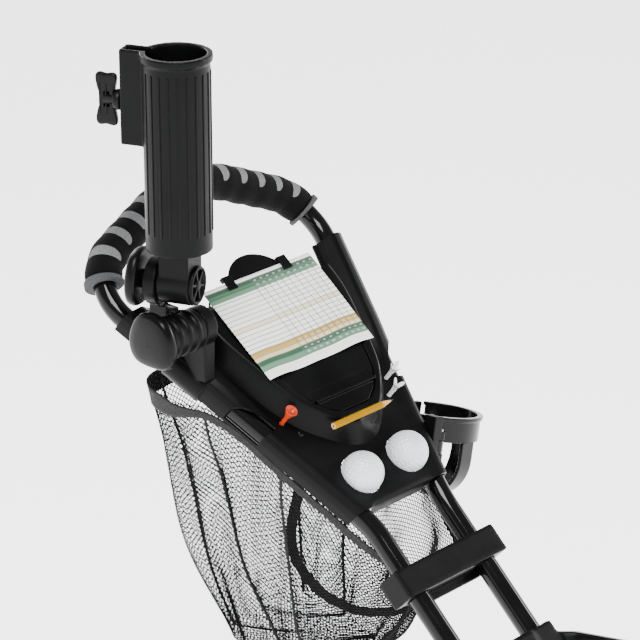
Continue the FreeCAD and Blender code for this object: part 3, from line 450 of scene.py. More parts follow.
def rounded_path(points, bows, step):
    """Straight runs with a tangent arc at each inner point, as a chain of evenly spaced points."""
    points = [Vector(p) for p in points]
    chain = [points[0]]
    for before, corner, after, bow in zip(points, points[1:], points[2:], bows):
        inward = (before - corner).normalized()
        outward = (after - corner).normalized()
        half_turn = (math.pi - inward.angle(outward)) / 2
        tangent = bow * math.tan(half_turn)
        middle = corner + (inward + outward).normalized() * (bow / math.cos(half_turn))
        start = corner + inward * tangent - middle
        finish = corner + outward * tangent - middle
        steps = max(4, int(bow * half_turn * 2 / step))
        chain += [middle + start.slerp(finish, number / steps).normalized() * bow
                  for number in range(steps + 1)]
    chain.append(points[-1])
    return evenly(chain, step)


def unit(ways):
    """Directions with their lengths made 1."""
    return ways / np.linalg.norm(ways, axis=-1)[..., None]


def lengths_along(spots):
    """How far along a chain each of its points is."""
    return np.concatenate([[0], np.cumsum(np.linalg.norm(np.diff(spots, axis=0), axis=1))])


def at_marks(marks, gone, spots):
    """A chain's points at given distances along it."""
    return np.stack([np.interp(marks, gone, spots[:, axis]) for axis in range(3)], axis=-1)


def evenly(chain, step):
    """The same chain with points a fixed step apart."""
    spots = np.array([tuple(p) for p in chain])
    gone = lengths_along(spots)
    count = max(2, int(round(gone[-1] / step)) + 1)
    return at_marks(np.linspace(0, gone[-1], count), gone, spots)


def frames_along(spots, upward):
    """Tangents and two side directions at each point of a chain."""
    ways = unit(np.gradient(spots, axis=0))
    sides = unit(np.cross(ways, upward))
    return ways, sides, np.cross(sides, ways)


def sweep(name, spots, radii, material, upward, sides):
    """A round bar along a chain of points in metres, with a radius at each point."""
    _, across, over_way = frames_along(spots, upward)
    turns = np.linspace(0, 2 * math.pi, sides, endpoint=False)
    outward = np.cos(turns)[:, None] * across[:, None] + np.sin(turns)[:, None] * over_way[:, None]
    rings = spots[:, None] + radii[:, None, None] * outward
    faces = grid_faces(len(spots), sides, True)
    faces.append(tuple(range(sides))[::-1])
    faces.append(tuple(range((len(spots) - 1) * sides, len(spots) * sides)))
    return mesh_object(name, rings.reshape(-1, 3), faces, material)


def lathe(name, profile, centre, axis, material, steps=64):
    """A turned piece from (radius, along) points in millimetres."""
    axis = Vector(axis).normalized()
    first = axis.orthogonal().normalized()
    second = axis.cross(first)
    points = []
    for radius, along in profile:
        for number in range(steps):
            angle = 2 * math.pi * number / steps
            ring = first * math.cos(angle) + second * math.sin(angle)
            points.append(Vector(centre) + (ring * radius + axis * along) * MM)
    return mesh_object(name, points, grid_faces(len(profile), steps, True), material)


def join(pieces):
    """Joins meshes into the first one."""
    whole = bmesh.new()
    materials = []
    for piece in pieces:
        shift = []
        for material in piece.data.materials:
            if material not in materials:
                materials.append(material)
            shift.append(materials.index(material))
        start = len(whole.faces)
        whole.from_mesh(piece.data)
        whole.faces.ensure_lookup_table()
        for face in whole.faces[start:]:
            face.material_index = shift[face.material_index]
    keep = pieces[0]
    whole.to_mesh(keep.data)
    whole.free()
    keep.data.materials.clear()
    for material in materials:
        keep.data.materials.append(material)
    for piece in pieces[1:]:
        bpy.data.objects.remove(piece)
    return keep


def box_piece(name, centre, sizes, axes, material, bevel):
    """A block with rounded edges round a point in metres, in millimetres along three directions."""
    axes = [Vector(a).normalized() for a in axes]
    points = []
    for corner in ((x, y, z) for x in (-1, 1) for y in (-1, 1) for z in (-1, 1)):
        move = Vector()
        for axis, sign, length in zip(axes, corner, sizes):
            move += axis * (sign * length / 2 * MM)
        points.append(centre + move)
    faces = [(0, 1, 3, 2), (4, 6, 7, 5), (0, 4, 5, 1), (2, 3, 7, 6), (0, 2, 6, 4), (1, 5, 7, 3)]
    piece = mesh_object(name, points, faces, material)
    rounding = piece.modifiers.new("edges", "BEVEL")
    rounding.width = bevel * MM
    rounding.segments = 3
    return apply_modifiers(piece)


# ---- handle and grip ----

GRIP_STEP = 1.5
GRIP_INLAYS = 12


def handle_spots(step):
    """The handle's centre line, from one leg's foot over the crown to the other's."""
    left = [tube(-HALF_GAP, TUBE_FOOT, 0), tube(-HALF_GAP, 0, 0), leg(-SHOULDER[0], SHOULDER[1], 0)]
    right = [leg(SHOULDER[0], SHOULDER[1], 0), tube(HALF_GAP, 0, 0), tube(HALF_GAP, TUBE_FOOT, 0)]
    bows = [bow * MM for bow in (110, 55, 147, 55, 110)]
    return rounded_path(left + [leg(0, *CROWN)] + right, bows, step * MM)


def grip_spots():
    """The stretch of the centre line between the middles of the two shoulder bends."""
    spots = handle_spots(GRIP_STEP)
    ends = []
    for hand in (-1, 1):
        shoulder = np.array(leg(hand * SHOULDER[0], SHOULDER[1], 0))
        ends.append(int(np.argmin(np.linalg.norm(spots - shoulder, axis=1))))
    return spots[ends[0]:ends[1] + 1]


def grip_radius(gone, whole):
    """Foam radius along the grip, rounded off over its last few millimetres."""
    edge = np.minimum(gone, whole - gone)
    rounding = np.clip(1 - edge / 9, 0, 1)
    waves = 0.45 * np.sin(gone / 12.6 * math.pi)
    return 18.6 + waves * np.clip(edge / 20, 0, 1) - 4.6 * (1 - np.sqrt(1 - rounding ** 2 * 0.98))


def make_handle(paint, foam, inlay):
    """The looped handle bar, its foam grip, and the grey inlays in the foam."""
    spots = handle_spots(4)
    bar = sweep("handle_bar", spots, np.full(len(spots), TUBE_RADIUS * MM), paint, LEG_NORMAL, 40)
    finish_piece(bar, "upper_frame", "black_tube", "handle_tube")
    core = grip_spots()
    gone = np.arange(len(core)) * GRIP_STEP
    radii = grip_radius(gone, gone[-1])
    sleeve = sweep("foam_sleeve", core, radii * MM, foam, LEG_NORMAL, 56)
    finish_piece(sleeve, "upper_frame", "foam", "grip_cover")
    _, inner_way, top_way = frames_along(core, LEG_NORMAL)
    inlays = []
    for number in range(GRIP_INLAYS):
        middle = gone[-1] * (0.075 + 0.85 * number / (GRIP_INLAYS - 1))
        inlays.append(grip_inlay(middle, gone, radii, core, -inner_way, top_way, inlay))
    finish_piece(join(inlays), "upper_frame", "grip_grey")


def grip_inlay(middle, gone, radii, core, outer_way, top_way, material):
    """A grey leaf-shaped inlay that wraps the outer and upper side of the grip."""
    rows = 30
    columns = 9
    points = []
    for row in range(rows):
        share = row / (rows - 1) * 2 - 1
        angle = math.radians(64 + 64 * share)
        width = 11.0 * (1 - abs(share) ** 3.2) ** 0.55 + 0.3
        start = -6 + 3.6 * (share + 1) / 2
        for column in range(columns):
            across = column / (columns - 1)
            place = middle + start + width * across
            rim = min(across, 1 - across) * 2
            lift = 0.55 * min(1, rim * 2.6) * min(1, (1 - abs(share)) * 8) - 0.25
            spot, out, top = (at_marks(place, gone, chain) for chain in (core, outer_way, top_way))
            radius = (np.interp(place, gone, radii) + lift) * MM
            points.append(spot + radius * (math.cos(angle) * out + math.sin(angle) * top))
    return mesh_object("grip_inlays", points, grid_faces(rows, columns), material)


# ---- console ----

def ease(value, low, high):
    """Goes smoothly from 0 to 1 between two limits."""
    share = np.clip((value - low) / (high - low), 0, 1)
    return share * share * (3 - 2 * share)


# Sections of the deck over a leg, from 30 mm inside its centre line to its outer edge: side and rise.
WING_PLAIN = [(-30, DECK_RISE), (-24, DECK_RISE), (-14, DECK_RISE), (-7, 14.2), (0, 14.4), (5, 14.0),
              (9.5, 12.2), (12.6, 8), (14, 2), (14.2, -7)]
WING_TALL = [(-30, 10), (-25, 10.2), (-19, 13.4), (-9, 20.2), (-5, 21.4), (3, 19.4), (9.5, 15.6),
             (12.8, 10), (14, 3), (14.2, -7)]
WING_START = 30
WING_COUNT = 40
INNER_COUNT = 44
BIN_BACK = 262
BIN_PLAN = [(78, 0), (84, 22), (98, 40), (120, 62), (145, 76), (185, 90), (230, 102), (BIN_BACK, 104)]


def wing_section(tall):
    """Sides and heights of the deck over a leg, between the plain section at 0 and the tall one at 1."""
    marks = np.linspace(0, 1, WING_COUNT)
    plain, high = (at_marks(marks, np.linspace(0, 1, len(shape)), np.array([(*spot, 0) for spot in shape]))
                   for shape in (WING_PLAIN, WING_TALL))
    section = plain * (1 - tall) + high * tall
    return section[:, 0], section[:, 1]


def make_console(plastic):
    """The deck: a thin moulded sheet that rolls over both legs and rises into tall wings at the back."""
    ups = np.concatenate([[15, 15, 15.3, 16.2, 18], np.arange(20, 299, 1.5)])
    drops = np.concatenate([[-20, -11, -4.5, -1.6, -0.3], np.zeros(len(ups) - 5)])
    rows = []
    for up, drop in zip(ups, drops):
        tall = ease(up, 128, 196)
        edge = leg_side(up)
        sides, heights = wing_section(tall)
        inner = np.linspace(0, edge - WING_START, INNER_COUNT, endpoint=False)
        side = np.concatenate([inner, edge + sides])
        height = np.concatenate([np.full(INNER_COUNT, DECK_RISE - 4 * tall), heights])
        middle = 1 - ease(side, edge - 22, edge - 6)
        height = height + drop * middle
        half = [leg(s, up, h) for s, h in zip(side, height)]
        other = [leg(-s, up, h) for s, h in zip(side[:0:-1], height[:0:-1])]
        rows.append(other + half)
    columns = len(rows[0])
    faces = []
    for face in grid_faces(len(rows), columns):
        row, column = divmod(face[0], columns)
        side = abs(column - columns // 2)
        edge = leg_side(ups[row])
        hollow = np.interp(ups[row], [p[0] for p in BIN_PLAN], [p[1] for p in BIN_PLAN], left=-9) - 9
        over_bin = side / INNER_COUNT * (edge - WING_START) < hollow or ups[row] > BIN_BACK
        if side >= INNER_COUNT or not over_bin:
            faces.append(face)
    piece = mesh_object("console_shell", [p for row in rows for p in row], faces, plastic)
    bm = bmesh.new()
    bm.from_mesh(piece.data)
    loose = [v for v in bm.verts if not v.link_faces]
    bmesh.ops.delete(bm, geom=loose, context="VERTS")
    bmesh.ops.remove_doubles(bm, verts=bm.verts, dist=1e-6)
    bm.to_mesh(piece.data)
    bm.free()
    thicken(piece, 2.2, -1)
    cutters = [round_cutter(hand * BALL_SIDE, BALL_SPOT[0], 22, 48, -5) for hand in (-1, 1)]
    cutters += [side_opening(hand) for hand in (-1, 1)]
    cutters += [round_cutter(side, up, 2.8, 20, -15) for side, up in (*TEES, (-65, 113), (-58, 123))]
    for cutter in cutters:
        take = piece.modifiers.new("hole", "BOOLEAN")
        take.operation = "DIFFERENCE"
        take.solver = "EXACT"
        take.object = cutter
        apply_modifiers(piece)
        bpy.data.objects.remove(cutter)
    smooth_by_angle(piece, 40)
    finish_piece(piece, "upper_frame", "black_plastic", "console_deck")


def smooth_by_angle(piece, degrees):
    """Smooth shading with the sharp edges kept."""
    for polygon in piece.data.polygons:
        polygon.use_smooth = True
    piece.data.set_sharp_from_angle(angle=math.radians(degrees))


def upright_cutter(outline, low, high):
    """A prism across the deck from a counter-clockwise outline of (side, up) points."""
    count = len(outline)
    points = [leg(side, up, rise) for rise in (low, high) for side, up in outline]
    faces = [tuple(range(count))[::-1], tuple(range(count, 2 * count))]
    faces += [(n, (n + 1) % count, count + (n + 1) % count, count + n) for n in range(count)]
    return mesh_object("cutter", points, faces, bpy.data.materials[0], False)


def round_cutter(side, up, radius, steps, low):
    """A round prism across the deck, from below it to well above it."""
    turns = [2 * math.pi * number / steps for number in range(steps)]
    outline = [(side + radius * math.cos(turn), up + radius * math.sin(turn)) for turn in turns]
    return upright_cutter(outline, low, 40)


def side_opening(hand):
    """The rounded opening beside a leg, which leaves a lower rail and shows the bare tube."""
    outline = [(150, 127), (119, 126.5), (97, 127), (90, 128), (86.5, 130.5), (87, 136), (92, 145),
               (99, 153.5), (106, 161), (113, 166), (122, 168.5), (132, 169.5), (150, 171)]
    outline = [(-side, up) for side, up in outline] if hand < 0 else outline[::-1]
    return upright_cutter(outline, -3.5, 60)


# Right halves of the mound's outlines, from the front middle round to the back: side and up.
BASE_OUTLINE = [(0, 78), (22, 84), (40, 98), (62, 120), (76, 145), (90, 185), (102, 230), (104, 262)]
CREST_OUTLINE = [(0, 94), (20, 98), (34, 108), (52, 129), (65, 150), (78, 188), (90, 231), (92, 262)]
LID_OUTLINE = [(0, 110), (20, 110.5), (37, 121), (50, 138), (57, 155), (64, 186), (70, 232), (72, 258)]
SKIN_PROFILE = [  # share of the way from base to crest, 0 to 1, or from crest to lid, 1 to 2; and height
    (-0.10, 13.2), (0.0, 14.6), (0.22, 18.5), (0.5, 24.6), (0.78, 30.4), (0.94, 33.0), (1.05, 34.2),
    (1.2, 34.5), (1.45, 34.4), (1.75, 34.2), (1.94, 34.0), (2.0, 33.2), (2.0, 30.6)]


def mirrored(points, count):
    """A smooth curve through an outline and its mirror image, from the left end to the right one."""
    left = [(-side, up, 0) for side, up in reversed(points) if side > 0]
    return smooth_chain(left + [(side, up, 0) for side, up in points], count, False)[:, :2]


def make_mound_skin(plastic):
    """The smooth raised rim round the lid, with the pencil's groove and the half-moon recess below it."""
    columns = 161
    base, crest, inner = (mirrored(points, columns) for points in (BASE_OUTLINE, CREST_OUTLINE, LID_OUTLINE))
    rows = []
    for share, rise in SKIN_PROFILE:
        spots = base + (crest - base) * share if share <= 1 else crest + (inner - crest) * (share - 1)
        side, up = spots.T
        recess = np.clip(1 - ((side - 12) / 19) ** 2, 0, 1) * np.exp(-((up - 92.5) / 4.6) ** 2)
        height = rise - 6.4 * recess
        groove = 36.4 - np.sqrt(np.clip(16.8 - (up - PENCIL_UP) ** 2, 0, None))
        in_groove = (np.abs(side) < 46) & (np.abs(up - PENCIL_UP) < 4)
        height = np.where(in_groove, np.minimum(height, groove), height)
        rows.append([leg(*spot) for spot in zip(side, up, height)])
    points = [spot for row in rows for spot in row]
    skin = mesh_object("console_rim", points, grid_faces(len(rows), columns), plastic)
    finer = skin.modifiers.new("finer", "SUBSURF")
    finer.levels = 2
    finer.render_levels = 2
    thicken(skin, 0.5, 0)
    finish_piece(skin, "upper_frame", "black_plastic")


CARD_SIZE = (153, 112.5)
CARD_UP = 224.5         # the card's middle


def make_card(material):
    """The scorecard: thin card, slightly bowed, its free near edge gently wavy."""
    columns = 60
    rows = 44
    points = []
    marks = []
    for row in range(rows):
        share = row / (rows - 1)
        down = 1 - share
        for column in range(columns):
            across = column / (columns - 1)
            wave = down ** 2 * (1.8 * math.sin(across * 9.2 + 0.6) + 1.1 * math.sin(across * 17))
            rise = 35.9 + 0.8 * math.sin(row / rows * 3.0) + wave + down ** 3 * 1.2
            points.append(leg((across - 0.5) * CARD_SIZE[0], CARD_UP + (share - 0.5) * CARD_SIZE[1], rise))
            marks.append((across, share))
    card = mesh_object("score_card", points, grid_faces(rows, columns), material)
    give_uvs(card, marks)
    thicken(card, 0.45, -1)
    finish_piece(card, "lid", "card", "scorecard")


BALL_DIMPLES = 332


def make_balls(material):
    """Two balls with dimples on a spiral lattice."""
    bm = bmesh.new()
    bmesh.ops.create_icosphere(bm, subdivisions=6, radius=1)
    sphere = np.array([v.co[:] for v in bm.verts])
    number = np.arange(BALL_DIMPLES) + 0.5
    polar = np.arccos(1 - 2 * number / BALL_DIMPLES)
    turn = math.pi * (1 + 5 ** 0.5) * number
    seats = np.stack([np.cos(turn) * np.sin(polar), np.sin(turn) * np.sin(polar), np.cos(polar)], axis=1)
    nearest = np.arccos(np.clip((sphere @ seats.T).max(axis=1), -1, 1)) * BALL_RADIUS
    depth = 0.6 * np.clip(1 - (nearest / 1.75) ** 2, 0, 1)
    faces = [[v.index for v in f.verts] for f in bm.faces]
    bm.free()
    surface = sphere * (BALL_RADIUS - depth)[:, None] * MM
    balls = []
    for hand in (-1, 1):
        centre = np.array(leg(hand * BALL_SIDE, *BALL_SPOT))
        spin = np.array(Matrix.Rotation(0.7 + hand, 3, Vector((0.3, 0.8, 0.4)).normalized()))
        balls.append(mesh_object("dimpled_balls", centre + surface @ spin.T, faces, material))
    finish_piece(join(balls), "upper_frame", "white_ball", "golf_balls")


TEE_PROFILE = [(0.05, 0), (0.9, 1), (2.0, 7), (2.2, 12), (2.2, 30), (2.5, 33), (3.3, 36), (4.7, 40),
               (6.0, 43.2), (6.5, 44.3), (6.2, 44.9), (5.0, 43.6), (3.2, 41.4), (0.05, 40.6)]
TEE_NECK = 35           # where the head starts, up the tee


def pronged_tee(side, up, turn, material):
    """A tee whose head splits into three spread prongs."""
    centre = leg(side, up, TEE_FOOT)
    tee = lathe("white_golf_tees", TEE_PROFILE, centre, LEG_NORMAL, material, 60)
    first = LEG_NORMAL.orthogonal().normalized()
    second = LEG_NORMAL.cross(first)
    for vertex in tee.data.vertices:
        gone = vertex.co - centre
        along = gone.dot(LEG_NORMAL) / MM
        if along < TEE_NECK:
            continue
        out = gone - LEG_NORMAL * (along * MM)
        angle = math.atan2(out.dot(second), out.dot(first)) + turn
        prong = 0.5 + 0.5 * math.cos(3 * angle)
        keep = 0.30 + 0.70 * prong ** 0.8
        height = TEE_NECK + (along - TEE_NECK) * (0.35 + 0.65 * prong)
        vertex.co = centre + LEG_NORMAL * (height * MM) + out * keep
    return tee


def make_tees(white, orange):
    """Two pronged white tees on the right of the deck, and a plain orange one on the left."""
    whites = [pronged_tee(*place, turn, white) for place, turn in zip(TEES[:2], (0.4, 1.3))]
    finish_piece(join(whites), "upper_frame", "white_tee", "white_tees")
    lone = lathe("orange_golf_tee", TEE_PROFILE, leg(*TEES[2], TEE_FOOT), LEG_NORMAL, orange, 40)
    finish_piece(lone, "upper_frame", "orange_tee", "orange_tee")


PENCIL_ROWS = [  # along, radius, how round the section is, and the material of the stretch that follows
    (0.1, 0.02, 1, 2), (0, 1.1, 1, 1), (0, 3.3, 0, 0), (0.5, 3.6, 0, 0), (69, 3.6, 0, 0),
    (70.6, 3.45, 0.3, 1), (73, 2.9, 1, 1), (80, 1.7, 1, 1), (83.5, 1.05, 1, 2),
    (84, 1.0, 1, 2), (88, 0.2, 1, 2)]
PENCIL_SCALLOP = 5      # the row between lacquer and bare wood


def make_pencil(lacquer, wood, lead):
    """A short hexagonal pencil: lacquered body, scalloped cut, wood cone and lead."""
    start = leg(-45, PENCIL_UP, RIM_RISE + 3.4)
    upward = Vector((0, *turned_up(1, 0, LEG_ANGLE)))
    steps = 36
    points = []
    for row, (along, radius, round_share, _) in enumerate(PENCIL_ROWS):
        for number in range(steps):
            angle = 2 * math.pi * number / steps
            facet = math.cos(math.pi / 6) / math.cos((angle % (math.pi / 3)) - math.pi / 6)
            reach = radius * (facet * (1 - round_share) + round_share)
            shift = 1.5 * math.cos(6 * angle) if row == PENCIL_SCALLOP else 0
            out = upward * math.cos(angle) + LEG_NORMAL * math.sin(angle)
            points.append(start + Vector((along + shift, 0, 0)) * MM + out * (reach * MM))
    piece = mesh_object("short_pencil", points, grid_faces(len(PENCIL_ROWS), steps, True), lacquer)
    piece.data.materials.append(wood)
    piece.data.materials.append(lead)
    for polygon in piece.data.polygons:
        polygon.material_index = PENCIL_ROWS[min(polygon.vertices) // steps][3]
    smooth_by_angle(piece, 25)
    finish_piece(piece, "upper_frame", "pencil", "pencil")


# ---- net bag ----

NET_COLUMNS = 256
NET_ROWS = 96
STRAND_RADIUS = 0.56
RIM_ROW = 3             # the row of the wall that the rim's tape follows
NET_SEAMS = (           # share of the way round, and drift round the bag from rim to floor
    (0.595, 0.02), (0.70, 0.09), (0.80, 0.05), (0.30, -0.06), (0.40, -0.02))
FRONT_SEAM = [(-70, 80, 34), (-66, 85, 14), (-61, 99, -32), (-56, 96, -66), (-41, 79, -99), (-20, 55, -119),
              (-4, 35, -122), (10, 16, -118), (16, -2, -100)]
RIM_WIDTH = 21
FRONT_SEAM_WIDTH = 10.5
NET_LEVELS = [  # right half of each loop, from its front middle round to its back middle
    [(0, -38, -40), (38, -34, -36), (54, 0, -17), (80, 70, 36), (108, 148, 94), (120, 205, 96),
     (119, 238, 104), (88, 249, 108), (0, 251, 108)],
    [(0, -14, -84), (36, -10, -82), (60, 24, -58), (82, 92, -18), (104, 160, 24), (112, 208, 40),
     (109, 231, 44), (82, 240, 44), (0, 242, 44)],
    [(0, 8, -124), (34, 12, -122), (58, 50, -106), (78, 102, -82), (93, 165, -56), (100, 204, -44),
     (95, 218, -42), (74, 226, -42), (0, 228, -42)],
    [(0, 30, -158), (34, 34, -156), (54, 66, -150), (68, 112, -134), (79, 165, -112), (84, 198, -104),
     (79, 209, -102), (60, 215, -102), (0, 217, -102)],
    [(0, 56, -182), (30, 60, -182), (46, 84, -184), (56, 118, -184), (62, 155, -182), (64, 178, -178),
     (58, 188, -176), (44, 194, -174), (0, 196, -174)]]


def smooth_chain(points, count, closed):
    """A Catmull-Rom curve through points, sampled evenly."""
    points = np.array(points, float)
    size = len(points)
    chain = []
    for number in range(size if closed else size - 1):
        if closed:
            p0, p1, p2, p3 = (points[(number + step) % size] for step in (-1, 0, 1, 2))
        else:
            p0, p1, p2, p3 = (points[min(max(number + step, 0), size - 1)] for step in (-1, 0, 1, 2))
        for share in np.linspace(0, 1, 16, endpoint=False):
            chain.append(0.5 * (2 * p1 + (p2 - p0) * share + (2 * p0 - 5 * p1 + 4 * p2 - p3) * share ** 2
                                + (3 * p1 - p0 - 3 * p2 + p3) * share ** 3))
    chain.append(points[0] if closed else points[-1])
    chain = np.array(chain)
    gone = lengths_along(chain)
    return at_marks(np.linspace(0, gone[-1], count, endpoint=not closed), gone, chain)


def seam_place(start, drift, depth):
    """A seam's share of the way round the bag, at a share of the way down."""
    return start + drift * depth ** 1.5


def net_surface():
    """The bag's wall as rows of points in metres, with sags and gathered creases, and its outward ways."""
    loops = []
    for half in NET_LEVELS:
        other = [(-side, back, rise) for side, back, rise in reversed(half[1:-1])]
        loops.append(smooth_chain(half + other, NET_COLUMNS, True))
    stack = np.array(loops)
    wall = np.stack([smooth_chain(line, NET_ROWS, False) for line in stack.transpose(1, 0, 2)], axis=1)
    around = np.roll(wall, -1, axis=1) - np.roll(wall, 1, axis=1)
    downward = np.gradient(wall, axis=0)
    outward = unit(np.cross(downward, around))
    spin = np.arange(NET_COLUMNS)[None, :] / NET_COLUMNS
    depth = np.linspace(0, 1, NET_ROWS)[:, None]
    loose = np.clip(depth * 5, 0, 1)
    swell = 2.6 * np.sin(2 * math.pi * (9 * spin + 0.9 * depth))
    swell = swell + 1.6 * np.sin(2 * math.pi * (17 * spin - depth))
    for start, drift in NET_SEAMS:
        gap = (spin - seam_place(start, drift, depth)) / 0.011
        swell = swell - 6.5 * np.exp(-gap ** 2) * np.clip(depth * 3 + 0.2, 0, 1)
    wall = wall + outward * (swell * loose)[:, :, None]
    wall = wall + RNG.normal(0, 0.07, wall.shape)
    return np.array(BEND) + wall * MM, outward


def strands(name, wall, outward, step, material):
    """One family of diagonal strands over a grid of points: every second diagonal, one way."""
    rows, columns, _ = wall.shape
    pick = (np.arange(rows - 1)[:, None] + np.arange(columns)[None, :]) % 2 == 0
    there = np.roll(wall, -step, axis=1)[1:]
    return threads(name, wall[:-1][pick], there[pick], outward[:-1][pick], STRAND_RADIUS, material)


def threads(name, starts, stops, outward, radius, material):
    """Thin three-sided strands between pairs of points in metres, with a radius in millimetres."""
    ways = unit(stops - starts)
    side = unit(np.cross(ways, outward))
    top = np.cross(side, ways)
    corners = [top, -0.5 * top + 0.87 * side, -0.5 * top - 0.87 * side]
    rings = [ends + corner * (radius * MM) for ends in (starts, stops) for corner in corners]
    points = np.stack(rings, axis=1)
    base = np.arange(len(starts))[:, None] * 6
    faces = np.concatenate([base + [[a, b, b + 3, a + 3]] for a, b in ((0, 1), (1, 2), (2, 0))])
    return mesh_object(name, points.reshape(-1, 3).tolist(), faces.tolist(), material)


def ribbon(name, spots, across, width, thickness, material):
    """A flat tape along a chain of points in metres, with woven marks along it.

    The width is one number, or one for each point. Gives the tape, its length and its area."""
    width = np.broadcast_to(np.array(width, float), (len(spots),))
    gone = lengths_along(spots)
    columns = 7
    points = []
    marks = []
    for number, spot in enumerate(spots):
        for column in range(columns):
            share = column / (columns - 1) - 0.5
            points.append(spot + across[number] * (share * width[number] * MM))
            marks.append((gone[number] * 20, share * width[number] * 0.02))
    tape = mesh_object(name, points, grid_faces(len(spots), columns), material)
    give_uvs(tape, marks)
    thicken(tape, thickness, 0)
    return tape, gone[-1], float(np.sum(np.diff(gone) * (width[1:] + width[:-1]) / 2)) * MM


def make_net(netting, tape_cloth):
    """Knotless netting of crossed strands, with a taped rim, a taped front seam and a netting floor."""
    wall, outward = net_surface()
    finish_piece(strands("net_strands_left", wall, outward, -1, netting), "upper_frame", "net", "net_bag")
    finish_piece(strands("net_strands_right", wall, outward, 1, netting), "upper_frame", "net")
    finish_piece(net_floor(wall[-1], netting), "upper_frame", "net")
    finish_piece(net_seams(wall, tape_cloth), "upper_frame", "net")
    rim, out = (np.concatenate([loop, loop[:1]]) for loop in (wall[RIM_ROW], outward[RIM_ROW]))
    tall = unit(np.cross(unit(np.gradient(rim, axis=0)), out))
    rearward = (rim[:, 1] - rim[:, 1].min()) / np.ptp(rim[:, 1])
    wide = 8 + (RIM_WIDTH - 8) * ease(rearward, 0.72, 0.92)
    band, long, area = ribbon("rim_band", rim + out * 0.9 * MM, tall, wide, 1.3, tape_cloth)
    finish_piece(band, "upper_frame", "net")
    spots = np.array(BEND) + smooth_chain(FRONT_SEAM, 90, False) * MM
    ways, across, _ = frames_along(spots, Vector((0, -0.75, 0.66)))
    turned = across * 0.35 + np.cross(ways, across) * 0.94
    seam, long, _ = ribbon("front_seam", spots, turned, FRONT_SEAM_WIDTH, 1.6, tape_cloth)
    finish_piece(seam, "upper_frame", "net")


def net_floor(loop, material):
    """Crossed strands over the bag's floor, clipped to its last loop."""
    middle = loop.mean(axis=0)
    flat = loop[:, :2] - middle[:2]
    starts = []
    stops = []
    pitch = 3.3 * MM
    for angle in (math.pi / 4, -math.pi / 4):
        way = np.array([math.cos(angle), math.sin(angle)])
        beside = np.array([-way[1], way[0]])
        for number in range(-40, 41):
            offset = number * pitch
            reach = flat @ beside - offset
            hits = []
            for place in range(len(flat)):
                a, b = reach[place], reach[(place + 1) % len(flat)]
                if a * b < 0:
                    spot = loop[place] + (loop[(place + 1) % len(flat)] - loop[place]) * (a / (a - b))
                    hits.append(((spot[:2] - middle[:2]) @ way, spot[2]))
            hits.sort()
            for (low, low_rise), (high, high_rise) in zip(hits[::2], hits[1::2]):
                count = max(2, int((high - low) / (6 * MM)))
                marks = np.linspace(low, high, count + 1)
                gone = (marks - low) / (high - low)
                flat_spots = marks[:, None] * way[None, :] + offset * beside[None, :]
                rise = low_rise + (high_rise - low_rise) * gone - 5 * MM * (1 - (gone * 2 - 1) ** 2)
                spots = np.column_stack([flat_spots + middle[:2], rise])
                starts.append(spots[:-1])
                stops.append(spots[1:])
    starts = np.concatenate(starts)
    stops = np.concatenate(stops)
    up = np.tile([0.0, 0.0, 1.0], (len(starts), 1))
    return threads("net_floor", starts, stops, up, 0.6, material)


def net_seams(wall, material):
    """Gathered seams that run down the wall."""
    cords = []
    for start, drift in NET_SEAMS:
        spots = []
        for row in range(2, NET_ROWS):
            place = seam_place(start, drift, row / (NET_ROWS - 1)) % 1 * NET_COLUMNS
            first = int(place)
            share = place - first
            beside = wall[row, (first + 1) % NET_COLUMNS]
            spots.append(wall[row, first % NET_COLUMNS] * (1 - share) + beside * share)
        spots = evenly(smooth_chain(spots[::6] + [spots[-1]], 60, False), 3 * MM)
        radii = (1.5 + 0.25 * np.sin(np.arange(len(spots)) * 1.9)) * MM
        cords.append(sweep("net_seams", spots, radii, material, Vector((0.3, 0.5, 0.8)), 10))
    return join(cords)


# ---- umbrella holder and knobs ----

KNOB_STEPS = 72


def rounded_knob(name, centre, facing, outline, thickness, material):
    """A domed thumb knob: an outline of (across, up) points, thick at its middle, soft at its edge."""
    across = UP.cross(facing).normalized()
    edge = smooth_chain([(x, y, 0) for x, y in outline], KNOB_STEPS, True)[:, :2]
    points = []
    rows = 0
    for share, rise in ((0.30, 0.1), (0.86, 0.0), (0.95, 0.05), (0.99, 0.18), (1.0, 0.4), (0.985, 0.66),
                        (0.93, 0.86), (0.84, 0.97), (0.6, 1.06), (0.3, 1.1), (0.02, 1.11)):
        rows += 1
        points += [centre + (across * (x * share) + UP * (y * share) + facing * (rise * thickness)) * MM
                   for x, y in edge]
    return mesh_object(name, points, grid_faces(rows, KNOB_STEPS, True), material)


LOBED = [(0, 31), (17, 26), (27, 10), (29, -8), (20, -21), (0, -24), (-20, -21), (-29, -8), (-27, 10),
         (-17, 26)]
KNOB_STUB = [(4, 1), (9, 1), (9, 6), (7.5, 7.4), (4, 7.4)]


def make_thumb_knob(which, start, facing, satin):
    """A lobed thumb knob on its stub."""
    knob = rounded_knob(f"{which}_thumb_knob", start + facing * (5 * MM), facing, LOBED, 12, satin)
    stub = lathe(f"{which}_stub", KNOB_STUB, start, facing, satin)
    finish_piece(join([knob, stub]), f"{which}_knob", "black_plastic", f"umbrella_{which}_knob")


BOW_TIE = [(-10, -23), (-6, -26), (1, -25), (8, -26), (11.5, -22), (10, -12), (7.5, -5), (7, 0), (7.5, 5),
           (10, 12), (11.5, 22), (8, 26), (1, 25), (-6, 26), (-10, 23), (-8.5, 12), (-6, 5), (-5.5, 0),
           (-6, -5), (-8.5, -12)]
SCREW_SHANK = [(0.1, 0), (5, 0), (5.2, 0.6), (5.2, 6), (9, 6.4), (10, 7.4), (10, 12), (9, 13.4), (6, 14),
               (6, 24), (0.1, 24)]
SCREW_REACH = 49        # from the socket's axis out to the screw's start


